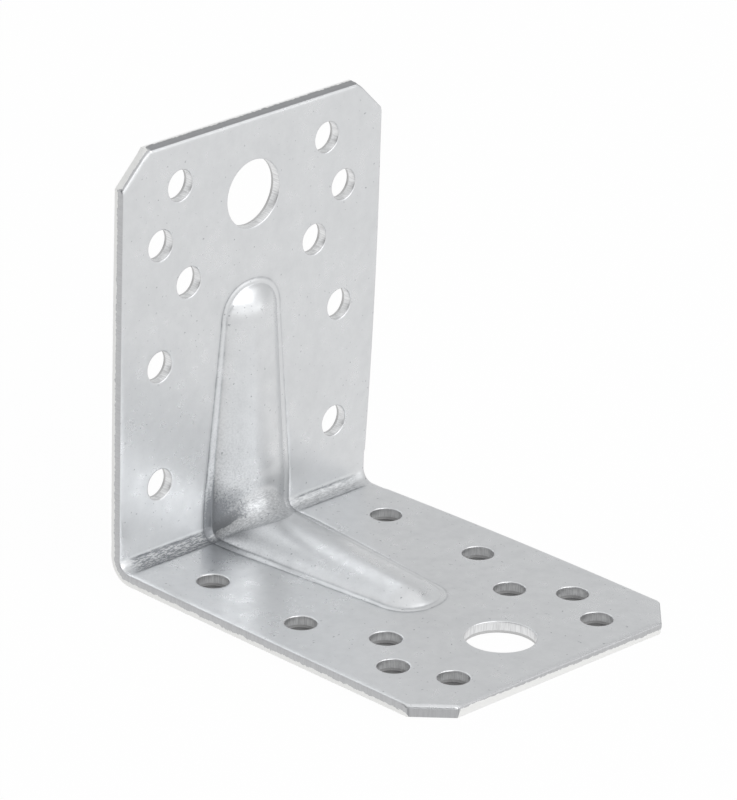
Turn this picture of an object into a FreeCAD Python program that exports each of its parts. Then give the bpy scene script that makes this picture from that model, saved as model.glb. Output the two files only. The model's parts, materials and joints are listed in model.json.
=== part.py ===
"""Reinforced angle bracket: one folded sheet with a bead pressed across its bend.

Both flanges are alike, so the upright one is built whole, cut to the mitre plane that
halves the bend, and mirrored in that plane to give the base flange. The two radii of the
bend are then rounded over the full width, across the bead as well.

While it is built the heel, where the outer faces of the flanges meet, lies on the Y axis:
the upright flange is the sheet from X = 0 to its thickness and rises along +Z. The finished
body is placed with its origin at the middle of the box's underside.
"""
import FreeCAD, Part
import math
import os

import Sketcher

VALUE_ROWS = (
    ("sheet_thickness", 2.0, "thickness of the galvanised sheet"),
    ("bracket_leg", 70.0, "length of each flange, from the heel to its end"),
    ("bracket_width", 55.0, "width of the sheet at the ends of the flanges"),
    ("bend_radius", 2.0, "inner radius of the bend"),
    ("corner_cut", 5.4, "leg of the 45 degree cut on the free corners"),
    ("near_draw", 0.4, "how far the bead has drawn in the -Y side at the bend"),
    ("far_draw", 1.6, "how far the bead has drawn in the +Y side at the bend"),
    ("draw_reach", 55.0, "distance from the heel where the sides run straight again"),
    ("bead_reach", 43.2, "distance from the heel to the rounded ends of the bead"),
    ("bead_end_foot", 6.3, "half width of the bead at the centre of its rounded end"),
    ("bead_heel_foot", 9.0, "half width of the bead at the bend"),
    ("bead_end_rise", 2.3, "height of the bead over the flange at its rounded end"),
    ("bead_heel_rise", 3.2, "height of the bead over the flange at the bend"),
    ("bead_foot_ease", 0.5, "how much larger than the bend's the bead's foot radius is"),
    ("bead_land", 0.8, "straight bead between the bend and the taper"),
    ("bolt_hole", 11.0, "diameter of the bolt hole"),
    ("bolt_inset", 12.7, "distance from the end of the flange to the bolt hole"),
    ("nail_hole", 5.0, "diameter of the nail holes"),
    ("first_row_reach", 14.1, "distance from the heel to the first pair of nail holes"),
    ("first_row_span", 37.5, "distance across the first pair"),
    ("second_row_reach", 33.8, "distance from the heel to the second pair"),
    ("second_row_span", 38.4, "distance across the second pair"),
    ("third_row_inset", 23.8, "distance from the end of the flange to the third pair"),
    ("third_row_span", 26.8, "distance across the third pair"),
    ("fourth_row_inset", 16.2, "distance from the end of the flange to the fourth pair"),
    ("fourth_row_span", 38.9, "distance across the fourth pair"),
    ("fifth_row_inset", 7.4, "distance from the end of the flange to the fifth pair"),
    ("fifth_row_span", 31.1, "distance across the fifth pair"),
    ("outline_roll", 0.3, "how far shearing drew the inner side over along the outline"),
    ("rim_roll", 0.3, "how far punching drew the inner side over at the holes"),
    ("trim_margin", 2.0, "how far a blank or a cutter runs past what it is cut from"),
)
HEEL_ROWS = ("first_row", "second_row")
END_ROWS = ("third_row", "fourth_row", "fifth_row")

THICKNESS = "Sizes.sheet_thickness"
MARGIN = "Sizes.trim_margin"
BLANK_HALF = f"Sizes.bracket_width / 2 + {MARGIN}"
FLAT_START = f"{THICKNESS} + Sizes.bend_radius"
BEND_ZONE = f"{THICKNESS} + Sizes.bend_radius + Sizes.bead_heel_rise + Sizes.bead_land"
FOOT_RADIUS = "Sizes.bend_radius + Sizes.bead_foot_ease"
END_CENTRE = "Sizes.bead_reach - Sizes.bead_end_foot"

# The points of a sketch element, and the sketch's own origin and axes
START = 1
END = 2
CENTRE = 3
ORIGIN = (-1, START)
X_AXIS = -1
Y_AXIS = -2

# Closer than this, in mm, two places are one
TOLERANCE = 1e-4
STEP_BEHIND = 0.01


def write_sizes(document):
    """Put the driving sizes into the sheet, one named value to a row."""
    sheet = document.addObject("Spreadsheet::Sheet", "Sizes")
    for row, (name, value, meaning) in enumerate(VALUE_ROWS, start=1):
        sheet.set(f"A{row}", name)
        sheet.set(f"B{row}", str(value))
        sheet.set(f"C{row}", meaning)
        sheet.setAlias(f"B{row}", name)
    document.recompute()
    return sheet


def origin_plane(body, role):
    """Return one of the body's own origin planes."""
    for feature in body.Origin.OriginFeatures:
        if feature.Role == role:
            return feature
    raise ValueError(f"the body has no {role}")


def flat_sketch(body, name, role, level=None):
    """Add a sketch on an origin plane, or at a bound level over it."""
    sketch = body.newObject("Sketcher::SketchObject", name)
    sketch.AttachmentSupport = [(origin_plane(body, role), "")]
    sketch.MapMode = "FlatFace"
    if level is not None:
        sketch.setExpression("AttachmentOffset.Base.z", level)
    return sketch


def bind(sketch, kind, elements, expression, value):
    """Add a dimension to a sketch and bind it to the sheet."""
    index = sketch.addConstraint(Sketcher.Constraint(kind, *elements, value))
    sketch.setExpression(f"Constraints[{index}]", expression)


def relate(sketch, *relations):
    """Add relations that carry no dimension."""
    for relation in relations:
        sketch.addConstraint(Sketcher.Constraint(*relation))


def line(sketch, first, last):
    """Add a straight line between two points and return its index."""
    ends = [FreeCAD.Vector(*point, 0) for point in (first, last)]
    return sketch.addGeometry(Part.LineSegment(*ends), False)


def arc(sketch, centre, radius, start_angle, end_angle):
    """Add an anticlockwise arc and return its index."""
    circle = Part.Circle(FreeCAD.Vector(*centre, 0), FreeCAD.Vector(0, 0, 1), radius)
    return sketch.addGeometry(Part.ArcOfCircle(circle, start_angle, end_angle), False)


def crest_circle(foot, rise, foot_radius):
    """Return the radius of the crest and the slope where it meets the foot arcs."""
    radius = (foot ** 2 + rise ** 2 - 2 * foot_radius * rise) / (2 * rise)
    return radius, math.asin(foot / (foot_radius + radius))


def draw_bead_section(sketch, sheet, station, outer_side):
    """Draw the bead's cross-section, or its hollow's, for the heel or the end station.

    Sketch X is the height over the outer face, sketch Y runs across the bracket. The bead
    starts inside the sheet, and the hollow outside it. The hollow is the bead offset by the
    thickness: both share the centres of their arcs.
    """
    thickness = sheet.sheet_thickness
    foot = sheet.get(f"bead_{station}_foot")
    rise = sheet.get(f"bead_{station}_rise")
    foot_radius = sheet.bend_radius + sheet.bead_foot_ease
    radius, slope = crest_circle(foot, rise, foot_radius)
    foot_height = thickness + foot_radius
    face = 0 if outer_side else thickness
    depth = sheet.trim_margin if outer_side else thickness / 2
    base = face - depth

    crest_centre = (thickness + rise - radius, 0)
    near_foot = arc(sketch, (foot_height, -foot), foot_height - face, math.pi - slope, math.pi)
    crest = arc(sketch, crest_centre, radius - thickness + face, -slope, slope)
    far_foot = arc(sketch, (foot_height, foot), foot_height - face, math.pi, math.pi + slope)
    far_wall = line(sketch, (face, foot), (base, foot))
    floor = line(sketch, (base, foot), (base, -foot))
    near_wall = line(sketch, (base, -foot), (face, -foot))
    top = sketch.addGeometry(Part.Point(FreeCAD.Vector(face + rise, 0, 0)), True)
    relate(
        sketch,
        ("Tangent", near_foot, START, crest, START),
        ("Tangent", crest, END, far_foot, END),
        ("Perpendicular", far_foot, START, far_wall, START),
        ("Coincident", far_wall, END, floor, START),
        ("Coincident", floor, END, near_wall, START),
        ("Perpendicular", near_foot, END, near_wall, END),
        ("Horizontal", far_wall),
        ("Vertical", floor),
        ("Horizontal", near_wall),
        ("Symmetric", near_foot, CENTRE, far_foot, CENTRE, X_AXIS),
        ("Equal", near_foot, far_foot),
        ("PointOnObject", top, START, X_AXIS),
        ("PointOnObject", top, START, crest),
    )
    foot_size = f"Sizes.bead_{station}_foot"
    rise_size = f"Sizes.bead_{station}_rise"
    bind(sketch, "DistanceY", (*ORIGIN, far_foot, CENTRE), foot_size, foot)
    bind_side(sketch, sheet, far_foot, far_wall, outer_side)
    if outer_side:
        bind(sketch, "DistanceX", (*ORIGIN, top, START), rise_size, rise)
    else:
        reach = f"{THICKNESS} + {rise_size}"
        bind(sketch, "DistanceX", (*ORIGIN, top, START), reach, thickness + rise)


def bind_side(sketch, sheet, foot_arc, wall, outer_side):
    """Bind the foot's radius and the wall's reach for the bead's inner or outer side."""
    thickness = sheet.sheet_thickness
    foot_radius = sheet.bend_radius + sheet.bead_foot_ease
    if outer_side:
        relate(sketch, ("PointOnObject", foot_arc, START, Y_AXIS))
        radius = f"{FOOT_RADIUS} + {THICKNESS}"
        bind(sketch, "Radius", (foot_arc,), radius, foot_radius + thickness)
        bind(sketch, "DistanceX", (wall, END, wall, START), MARGIN, sheet.trim_margin)
    else:
        bind(sketch, "DistanceX", (*ORIGIN, foot_arc, START), THICKNESS, thickness)
        bind(sketch, "Radius", (foot_arc,), FOOT_RADIUS, foot_radius)
        bind(sketch, "DistanceX", (wall, END, wall, START), f"{THICKNESS} / 2", thickness / 2)


def draw_dome_profile(sketch, sheet, outer_side):
    """Draw half of the bead's end section, to be turned about sketch X into the rounded end.

    The inner side starts inside the sheet. The outer side is the hollow behind the bead, and
    starts outside the sheet.
    """
    thickness = sheet.sheet_thickness
    foot = sheet.bead_end_foot
    rise = sheet.bead_end_rise
    foot_radius = sheet.bend_radius + sheet.bead_foot_ease
    radius, slope = crest_circle(foot, rise, foot_radius)
    foot_height = thickness + foot_radius
    face = 0 if outer_side else thickness
    depth = sheet.trim_margin if outer_side else thickness / 2
    crest_radius = radius - thickness + face
    crest = (thickness + rise - radius, 0)

    axis = line(sketch, (face - depth, 0), (face + rise, 0))
    crest_arc = arc(sketch, crest, crest_radius, 0, slope)
    foot_arc = arc(sketch, (foot_height, foot), foot_height - face, math.pi, math.pi + slope)
    wall = line(sketch, (face, foot), (face - depth, foot))
    floor = line(sketch, (face - depth, foot), (face - depth, 0))
    relate(
        sketch,
        ("Coincident", axis, END, crest_arc, START),
        ("Tangent", crest_arc, END, foot_arc, END),
        ("Perpendicular", foot_arc, START, wall, START),
        ("Coincident", wall, END, floor, START),
        ("Coincident", floor, END, axis, START),
        ("Horizontal", axis),
        ("Horizontal", wall),
        ("Vertical", floor),
        ("PointOnObject", axis, START, X_AXIS),
        ("PointOnObject", crest_arc, CENTRE, X_AXIS),
    )
    bind(sketch, "DistanceY", (*ORIGIN, foot_arc, CENTRE), "Sizes.bead_end_foot", foot)
    bind_side(sketch, sheet, foot_arc, wall, outer_side)
    if outer_side:
        bind(sketch, "DistanceX", (*ORIGIN, axis, END), "Sizes.bead_end_rise", rise)
    else:
        reach = f"{THICKNESS} + Sizes.bead_end_rise"
        bind(sketch, "DistanceX", (*ORIGIN, axis, END), reach, thickness + rise)


def add_beaded_sheet(body, sheet):
    """Build the upright sheet with its bead, from the heel to the free end."""
    plate_section = flat_sketch(body, "PlateSection", "XY_Plane")
    draw_plate_section(plate_section, sheet)
    plate = body.newObject("PartDesign::Pad", "Plate")
    plate.Profile = plate_section
    plate.setExpression("Length", "Sizes.bracket_leg")
    press_bead(body, sheet, "Bead", outer_side=False)
    press_bead(body, sheet, "Hollow", outer_side=True)


def press_bead(body, sheet, name, outer_side):
    """Add the bead to the sheet, or cut its hollow: level at the bend, tapered, rounded."""
    level, loft, turn = "Pad", "AdditiveLoft", "Revolution"
    if outer_side:
        level, loft, turn = "Pocket", "SubtractiveLoft", "Groove"
    sections = {}
    for station, height in (("heel", BEND_ZONE), ("end", END_CENTRE)):
        sketch = flat_sketch(body, f"{name}Section{station.title()}", "XY_Plane", height)
        draw_bead_section(sketch, sheet, station, outer_side)
        sections[station] = sketch

    bend = body.newObject(f"PartDesign::{level}", f"{name}Bend")
    bend.Profile = sections["heel"]
    bend.Reversed = not outer_side
    bend.setExpression("Length", BEND_ZONE)

    taper = body.newObject(f"PartDesign::{loft}", f"{name}Taper")
    taper.Profile = sections["heel"]
    taper.Sections = [(sections["end"], [""])]
    taper.Ruled = True

    profile = flat_sketch(body, f"{name}EndProfile", "XY_Plane", END_CENTRE)
    draw_dome_profile(profile, sheet, outer_side)
    end = body.newObject(f"PartDesign::{turn}", f"{name}End")
    end.Profile = profile
    end.ReferenceAxis = (profile, ["H_Axis"])
    end.Angle = 180.0


def draw_plate_section(sketch, sheet):
    """Draw the plain sheet's section, wider than the outline it is cut to."""
    thickness = sheet.sheet_thickness
    edge = sheet.bracket_width / 2 + sheet.trim_margin
    corners = ((0, -edge), (thickness, -edge), (thickness, edge), (0, edge))
    sides = closed_outline(sketch, corners)
    relate(
        sketch,
        ("Horizontal", sides[0]),
        ("Horizontal", sides[2]),
        ("Vertical", sides[3]),
        ("PointOnObject", sides[0], START, Y_AXIS),
        ("Symmetric", sides[1], START, sides[1], END, X_AXIS),
    )
    bind(sketch, "DistanceX", (sides[0], START, sides[0], END), THICKNESS, thickness)
    bind(sketch, "DistanceY", (*ORIGIN, sides[1], END), BLANK_HALF, edge)


def closed_outline(sketch, corners):
    """Draw straight lines round a list of corners, joined end to end."""
    sides = [
        line(sketch, corner, corners[(index + 1) % len(corners)])
        for index, corner in enumerate(corners)
    ]
    for index, side in enumerate(sides):
        relate(sketch, ("Coincident", side, END, sides[(index + 1) % len(sides)], START))
    return sides


def add_outline(body, sheet):
    """Cut the flange to its outline: drawn-in sides and two corner cuts."""
    sketch = flat_sketch(body, "FlangeOutline", "YZ_Plane")
    draw_flange_outline(sketch, sheet)
    trim = body.newObject("PartDesign::Pocket", "FlangeTrim")
    trim.Profile = sketch
    trim.SideType = "Symmetric"
    trim.setExpression("Length", f"4 * {THICKNESS}")


def draw_flange_outline(sketch, sheet):
    """Draw the flange's outline inside a frame, so that what lies between is cut away."""
    half = sheet.bracket_width / 2
    leg = sheet.bracket_leg
    cut = sheet.corner_cut
    margin = sheet.trim_margin
    flat = sheet.sheet_thickness + sheet.bend_radius
    reach = sheet.draw_reach
    near_half = half - sheet.near_draw
    far_half = half - sheet.far_draw
    near_radius = ((reach - flat) ** 2 + sheet.near_draw ** 2) / (2 * sheet.near_draw)
    far_radius = ((reach - flat) ** 2 + sheet.far_draw ** 2) / (2 * sheet.far_draw)
    near_sweep = math.asin((reach - flat) / near_radius)
    far_sweep = math.asin((reach - flat) / far_radius)
    near_centre = (near_radius - half, reach)
    far_centre = (half - far_radius, reach)

    near_low = line(sketch, (-near_half, -margin), (-near_half, flat))
    near_arc = arc(sketch, near_centre, near_radius, math.pi, math.pi + near_sweep)
    near_side = line(sketch, (-half, reach), (-half, leg - cut))
    near_cut = line(sketch, (-half, leg - cut), (cut - half, leg))
    end = line(sketch, (cut - half, leg), (half - cut, leg))
    far_cut = line(sketch, (half - cut, leg), (half, leg - cut))
    far_side = line(sketch, (half, leg - cut), (half, reach))
    far_arc = arc(sketch, far_centre, far_radius, -far_sweep, 0)
    far_low = line(sketch, (far_half, flat), (far_half, -margin))
    bottom = line(sketch, (far_half, -margin), (-near_half, -margin))
    relate(
        sketch,
        ("Coincident", near_low, END, near_arc, END),
        ("Tangent", near_arc, START, near_side, START),
        ("Coincident", near_side, END, near_cut, START),
        ("Coincident", near_cut, END, end, START),
        ("Coincident", end, END, far_cut, START),
        ("Coincident", far_cut, END, far_side, START),
        ("Tangent", far_side, END, far_arc, END),
        ("Coincident", far_arc, START, far_low, START),
        ("Coincident", far_low, END, bottom, START),
        ("Coincident", bottom, END, near_low, START),
        ("Vertical", near_low),
        ("Vertical", near_side),
        ("Horizontal", end),
        ("Vertical", far_side),
        ("Vertical", far_low),
        ("Horizontal", bottom),
    )
    half_size = "Sizes.bracket_width / 2"
    near_size = f"{half_size} - Sizes.near_draw"
    far_size = f"{half_size} - Sizes.far_draw"
    bind(sketch, "DistanceX", (near_side, END, *ORIGIN), half_size, half)
    bind(sketch, "DistanceX", (*ORIGIN, far_side, START), half_size, half)
    bind(sketch, "DistanceX", (near_low, END, *ORIGIN), near_size, near_half)
    bind(sketch, "DistanceX", (*ORIGIN, far_low, START), far_size, far_half)
    bind(sketch, "DistanceY", (*ORIGIN, near_low, END), FLAT_START, flat)
    bind(sketch, "DistanceY", (*ORIGIN, far_low, START), FLAT_START, flat)
    bind(sketch, "DistanceY", (*ORIGIN, near_side, START), "Sizes.draw_reach", reach)
    bind(sketch, "DistanceY", (*ORIGIN, far_side, END), "Sizes.draw_reach", reach)
    bind(sketch, "DistanceY", (*ORIGIN, end, START), "Sizes.bracket_leg", leg)
    bind(sketch, "DistanceX", (near_cut, START, near_cut, END), "Sizes.corner_cut", cut)
    bind(sketch, "DistanceY", (near_cut, START, near_cut, END), "Sizes.corner_cut", cut)
    bind(sketch, "DistanceX", (far_cut, START, far_cut, END), "Sizes.corner_cut", cut)
    bind(sketch, "DistanceY", (far_cut, END, far_cut, START), "Sizes.corner_cut", cut)
    bind(sketch, "DistanceY", (bottom, END, *ORIGIN), MARGIN, margin)

    wide = half + 2 * margin
    corners = ((-wide, -2 * margin), (wide, -2 * margin), (wide, leg + margin), (-wide, leg + margin))
    sides = closed_outline(sketch, corners)
    relate(
        sketch,
        ("Horizontal", sides[0]),
        ("Vertical", sides[1]),
        ("Vertical", sides[3]),
        ("Symmetric", sides[2], START, sides[2], END, Y_AXIS),
    )
    bind(sketch, "DistanceX", (*ORIGIN, sides[2], START), f"{half_size} + 2 * {MARGIN}", wide)
    bind(sketch, "DistanceY", (sides[0], START, *ORIGIN), f"2 * {MARGIN}", 2 * margin)
    bind(
        sketch,
        "DistanceY",
        (*ORIGIN, sides[2], START),
        f"Sizes.bracket_leg + {MARGIN}",
        leg + margin,
    )


def punch(body, name, sketch):
    """Cut a sketch's holes through the upright flange."""
    hole = body.newObject("PartDesign::Pocket", name)
    hole.Profile = sketch
    hole.SideType = "Symmetric"
    hole.setExpression("Length", f"4 * {THICKNESS}")
    return hole


def round_hole(sketch, across, reach, diameter):
    """Draw a circle at a place on the flange and return its index."""
    circle = Part.Circle(FreeCAD.Vector(across, reach, 0), FreeCAD.Vector(0, 0, 1), diameter / 2)
    return sketch.addGeometry(circle, False)


def nail_rows(sheet):
    """Return each pair's name, its distance from the heel and the expression that gives it.

    The first two pairs are measured from the heel, the others from the end of the flange.
    """
    rows = [(row, sheet.get(f"{row}_reach"), f"Sizes.{row}_reach") for row in HEEL_ROWS]
    for row in END_ROWS:
        reach = sheet.bracket_leg - sheet.get(f"{row}_inset")
        rows.append((row, reach, f"Sizes.bracket_leg - Sizes.{row}_inset"))
    return rows


def add_holes(body, sheet):
    """Punch the bolt hole on the middle line and the pairs of nail holes beside it."""
    bolt_sketch = flat_sketch(body, "BoltHoleSketch", "YZ_Plane")
    bolt_reach = sheet.bracket_leg - sheet.bolt_inset
    bolt = round_hole(bolt_sketch, 0, bolt_reach, sheet.bolt_hole)
    relate(bolt_sketch, ("PointOnObject", bolt, CENTRE, Y_AXIS))
    bind(bolt_sketch, "Diameter", (bolt,), "Sizes.bolt_hole", sheet.bolt_hole)
    bind(
        bolt_sketch,
        "DistanceY",
        (*ORIGIN, bolt, CENTRE),
        "Sizes.bracket_leg - Sizes.bolt_inset",
        bolt_reach,
    )
    punch(body, "BoltHole", bolt_sketch)

    nail_sketch = flat_sketch(body, "NailHoleSketch", "YZ_Plane")
    first = None
    for row, reach, place in nail_rows(sheet):
        across = sheet.get(f"{row}_span") / 2
        hole = round_hole(nail_sketch, across, reach, sheet.nail_hole)
        bind(nail_sketch, "DistanceX", (*ORIGIN, hole, CENTRE), f"Sizes.{row}_span / 2", across)
        bind(nail_sketch, "DistanceY", (*ORIGIN, hole, CENTRE), place, reach)
        if first is None:
            first = hole
            bind(nail_sketch, "Diameter", (hole,), "Sizes.nail_hole", sheet.nail_hole)
        else:
            relate(nail_sketch, ("Equal", first, hole))
    far_holes = punch(body, "FarNailHoles", nail_sketch)
    near_holes = body.newObject("PartDesign::Mirrored", "NearNailHoles")
    near_holes.Originals = [far_holes]
    near_holes.MirrorPlane = (origin_plane(body, "XZ_Plane"), [""])
    body.Tip = near_holes


def add_second_flange(body, sheet):
    """Cut the upright flange to the mitre plane and mirror it into the base flange."""
    margin = sheet.trim_margin
    zone = (
        sheet.sheet_thickness + sheet.bend_radius + sheet.bead_heel_rise + sheet.bead_land
    )
    sketch = flat_sketch(body, "MitreSketch", "XZ_Plane")
    slope, back, floor = closed_outline(sketch, ((-margin, -margin), (zone, zone), (zone, -margin)))
    relate(sketch, ("Vertical", back), ("Horizontal", floor))
    bind(sketch, "DistanceX", (slope, START, *ORIGIN), MARGIN, margin)
    bind(sketch, "DistanceY", (slope, START, *ORIGIN), MARGIN, margin)
    bind(sketch, "DistanceX", (*ORIGIN, slope, END), BEND_ZONE, zone)
    bind(sketch, "DistanceY", (*ORIGIN, slope, END), BEND_ZONE, zone)
    mitre = body.newObject("PartDesign::Pocket", "MitreCut")
    mitre.Profile = sketch
    mitre.SideType = "Symmetric"
    mitre.setExpression("Length", f"2 * ({BLANK_HALF} + {MARGIN})")

    plane = body.newObject("PartDesign::Plane", "MitrePlane")
    plane.AttachmentSupport = [(origin_plane(body, "XY_Plane"), "")]
    plane.MapMode = "FlatFace"
    quarter_down = FreeCAD.Rotation(FreeCAD.Vector(0, 1, 0), -45)
    plane.AttachmentOffset = FreeCAD.Placement(FreeCAD.Vector(0, 0, 0), quarter_down)
    flange = body.newObject("PartDesign::Mirrored", "BaseFlange")
    flange.BaseFeature = mitre
    flange.TransformMode = "Whole shape"
    flange.MirrorPlane = (plane, [""])
    body.Tip = flange
    return flange


def bend_edges(shape, metal_behind):
    """Name the edges that cross the sheet at the bend, on its inner or its outer side.

    An edge of the inner side has metal between it and the heel.
    """
    names = []
    for index, edge in enumerate(shape.Edges, start=1):
        if not lies_on_mitre(edge):
            continue
        middle = edge.discretize(3)[1]
        behind = middle - FreeCAD.Vector(STEP_BEHIND, 0, STEP_BEHIND)
        if shape.isInside(behind, TOLERANCE, True) == metal_behind:
            names.append(f"Edge{index}")
    return names


def lies_on_mitre(edge):
    """Tell whether an edge lies in the mitre plane and runs across the sheet."""
    if edge.Degenerated or edge.BoundBox.YLength < TOLERANCE:
        return False
    return all(abs(point.x - point.z) < TOLERANCE for point in edge.discretize(5))


def round_edges(body, name, base, edges, radius):
    """Round some edges of the last feature to a bound radius."""
    fillet = body.newObject("PartDesign::Fillet", name)
    fillet.Base = (base, edges)
    fillet.setExpression("Radius", radius)
    body.Document.recompute()
    return fillet


def add_bend(body, flanges):
    """Round the bend on both sides of the sheet, from side to side over the bead."""
    body.Document.recompute()
    outer_edges = bend_edges(flanges.Shape, metal_behind=False)
    outer = round_edges(body, "OuterBend", flanges, outer_edges, FLAT_START)
    inner_edges = bend_edges(outer.Shape, metal_behind=True)
    return round_edges(body, "InnerBend", outer, inner_edges, "Sizes.bend_radius")


def add_rolled_edges(body, sheet, bend):
    """Bevel the inner side where the punches and the shear have drawn the sheet over."""
    rims = inner_edges(bend.Shape, sheet, closed=True)
    rolled = bevel_edges(body, "RimRoll", bend, rims, "Sizes.rim_roll")
    outline = inner_edges(rolled.Shape, sheet, closed=False)
    bevel_edges(body, "OutlineRoll", rolled, outline, "Sizes.outline_roll")


def bevel_edges(body, name, base, edges, size):
    """Bevel some edges of the last feature at 45 degrees, to a bound size."""
    chamfer = body.newObject("PartDesign::Chamfer", name)
    chamfer.Base = (base, edges)
    chamfer.setExpression("Size", size)
    body.Document.recompute()
    return chamfer


def inner_edges(shape, sheet, closed):
    """Name the inner side's hole rims, which are closed, or the edges of its outline."""
    names = []
    for index, edge in enumerate(shape.Edges, start=1):
        if edge.Degenerated or edge.isClosed() != closed or not on_inner_side(edge, sheet):
            continue
        if closed or on_outline(edge, sheet):
            names.append(f"Edge{index}")
    return names


def on_inner_side(edge, sheet):
    """Tell whether an edge lies in the inner faces of the flanges or in the inner bend."""
    return all(
        abs(sheet_depth(point, sheet) - sheet.sheet_thickness) < TOLERANCE
        for point in edge.discretize(5)
    )


def sheet_depth(point, sheet):
    """Return how far a place on the plain sheet lies from its outer side."""
    centre = sheet.sheet_thickness + sheet.bend_radius
    if point.z >= centre:
        return point.x
    if point.x >= centre:
        return point.z
    return centre - math.hypot(point.x - centre, point.z - centre)


def on_outline(edge, sheet):
    """Tell whether an edge belongs to the sheet's outline and not to the bead."""
    middle = edge.discretize(3)[1]
    reach = max(middle.x, middle.z)
    side = sheet.bracket_width / 2 - max(sheet.near_draw, sheet.far_draw)
    end = sheet.bracket_leg - sheet.corner_cut
    return abs(middle.y) > side - TOLERANCE or reach > end + TOLERANCE


def main():
    """Build, test and write the bracket."""
    document = FreeCAD.newDocument("AngleBracket")
    sheet = write_sizes(document)
    body = document.addObject("PartDesign::Body", "Bracket")
    body.Label = "angle_bracket"
    add_beaded_sheet(body, sheet)
    add_outline(body, sheet)
    add_holes(body, sheet)
    flanges = add_second_flange(body, sheet)
    bend = add_bend(body, flanges)
    add_rolled_edges(body, sheet, bend)
    body.setExpression("Placement.Base.x", "-Sizes.bracket_leg / 2")
    document.recompute()
    check(document, body)
    os.makedirs("parts", exist_ok=True)
    body.Shape.exportStep(os.path.join("parts", f"{body.Label}.step"))


def check(document, body):
    """Stop if a feature failed or the body isn't one valid solid."""
    for item in document.Objects:
        if {"Invalid", "Error"} & set(item.State):
            raise RuntimeError(f"{item.Name}: {item.getStatusString()}")
    shape = body.Shape
    if shape.isNull() or not shape.isValid() or len(shape.Solids) != 1:
        raise RuntimeError(f"{body.Label} isn't one valid solid")
    print(f"{body.Label}: {shape.Volume:.1f} cubic mm")


if __name__ == "__main__":
    main()
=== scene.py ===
"""Looks of the reinforced angle bracket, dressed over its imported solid.

The bracket is one galvanised sheet: punched, folded once, and pressed with a bead across the
fold. The sheet is meshed here again, finely, in the order in which it was made. The half of it
from the mitre of the bend to a free end is built twice, for the base and the upright flange.

Sizes are in millimetres. The heel, where the outer faces meet, is the origin of the working
frame: X runs along the base flange, Y across the bracket and Z up the upright flange.
"""

import json
import logging
import math
from collections.abc import Callable, Iterable, Sequence
from dataclasses import dataclass, field
from enum import Enum

import bmesh
import bpy
import numpy as np
from mathutils import Matrix, Vector
from mathutils.geometry import delaunay_2d_cdt

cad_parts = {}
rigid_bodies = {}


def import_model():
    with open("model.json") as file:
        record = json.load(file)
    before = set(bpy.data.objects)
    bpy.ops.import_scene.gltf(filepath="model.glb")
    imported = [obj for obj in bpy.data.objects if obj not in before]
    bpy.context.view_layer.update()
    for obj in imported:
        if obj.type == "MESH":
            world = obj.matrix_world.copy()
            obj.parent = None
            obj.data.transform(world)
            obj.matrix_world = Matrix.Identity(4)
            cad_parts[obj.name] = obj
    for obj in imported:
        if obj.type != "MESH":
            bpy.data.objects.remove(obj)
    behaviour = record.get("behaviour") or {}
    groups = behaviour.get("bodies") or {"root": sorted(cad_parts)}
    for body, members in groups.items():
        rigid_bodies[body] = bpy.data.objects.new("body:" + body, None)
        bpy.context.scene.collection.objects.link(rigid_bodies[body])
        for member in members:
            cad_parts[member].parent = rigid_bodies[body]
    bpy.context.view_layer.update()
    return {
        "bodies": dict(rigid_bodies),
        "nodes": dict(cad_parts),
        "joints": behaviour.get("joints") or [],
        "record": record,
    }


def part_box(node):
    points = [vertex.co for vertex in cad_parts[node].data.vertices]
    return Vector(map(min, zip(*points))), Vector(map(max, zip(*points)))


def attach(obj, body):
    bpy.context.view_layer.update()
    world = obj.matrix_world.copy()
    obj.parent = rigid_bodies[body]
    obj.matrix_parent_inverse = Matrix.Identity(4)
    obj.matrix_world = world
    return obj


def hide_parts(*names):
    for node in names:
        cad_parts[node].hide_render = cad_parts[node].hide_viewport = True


LOG = logging.getLogger("angle_bracket")
NODE = "angle_bracket"
BODY = "root"
MILLIMETRE = 0.001
WELD = 0.004 * MILLIMETRE
SHARP_ANGLE = math.radians(38)
HALF_BEND = math.pi / 4

# The bead's columns end with its foot and two more on the flat beside it
FOOT_COLUMN = -3

# What the triangulation keeps, and the tolerance that it works to
INSIDE_LOOP = 1
FLAT_TOLERANCE = 1e-7

# Where a colour mix has its two colours, among its inputs, and the mixed one, among its outputs
FIRST_COLOUR = 6
SECOND_COLOUR = 7
MIXED_COLOUR = 2

Colour = tuple[float, float, float]
Socket = bpy.types.NodeSocket


class Flange(Enum):
    """The two flanges of the bracket."""

    BASE = "base"
    UPRIGHT = "upright"


class Side(Enum):
    """The two sides of the sheet: the inner one faces the angle."""

    INNER = "inner"
    OUTER = "outer"


class Skin(Enum):
    """The finishes of the sheet, numbered as the mesh's material slots."""

    ZINC = 0
    SHEARED = 1
    PUNCHED = 2


@dataclass(frozen=True)
class Span:
    """A range of values, and the range that it is mapped to."""

    low: float
    high: float
    to_low: float = 0.0
    to_high: float = 1.0


@dataclass(frozen=True)
class Pattern:
    """A noise pattern: the size of its features, and how many and how strong its finer layers are."""

    size: float
    detail: float
    rough: float


@dataclass(frozen=True)
class Gauge:
    """What the whole sheet shares: its thickness, its bend and its outline."""

    thickness: float = 2.0
    bend_radius: float = 2.0
    corner_cut: float = 5.4
    near_draw: float = 0.4
    far_draw: float = 1.6
    draw_reach: float = 55.0
    level_reach: float = 11.5
    ridge_radius: float = 4.6
    full_rise: float = 3.2
    leg: float = 70.0
    width: float = 55.0

    @property
    def flat_start(self) -> float:
        """Distance from the heel where the plain sheet leaves the bend."""
        return self.thickness + self.bend_radius


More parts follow.
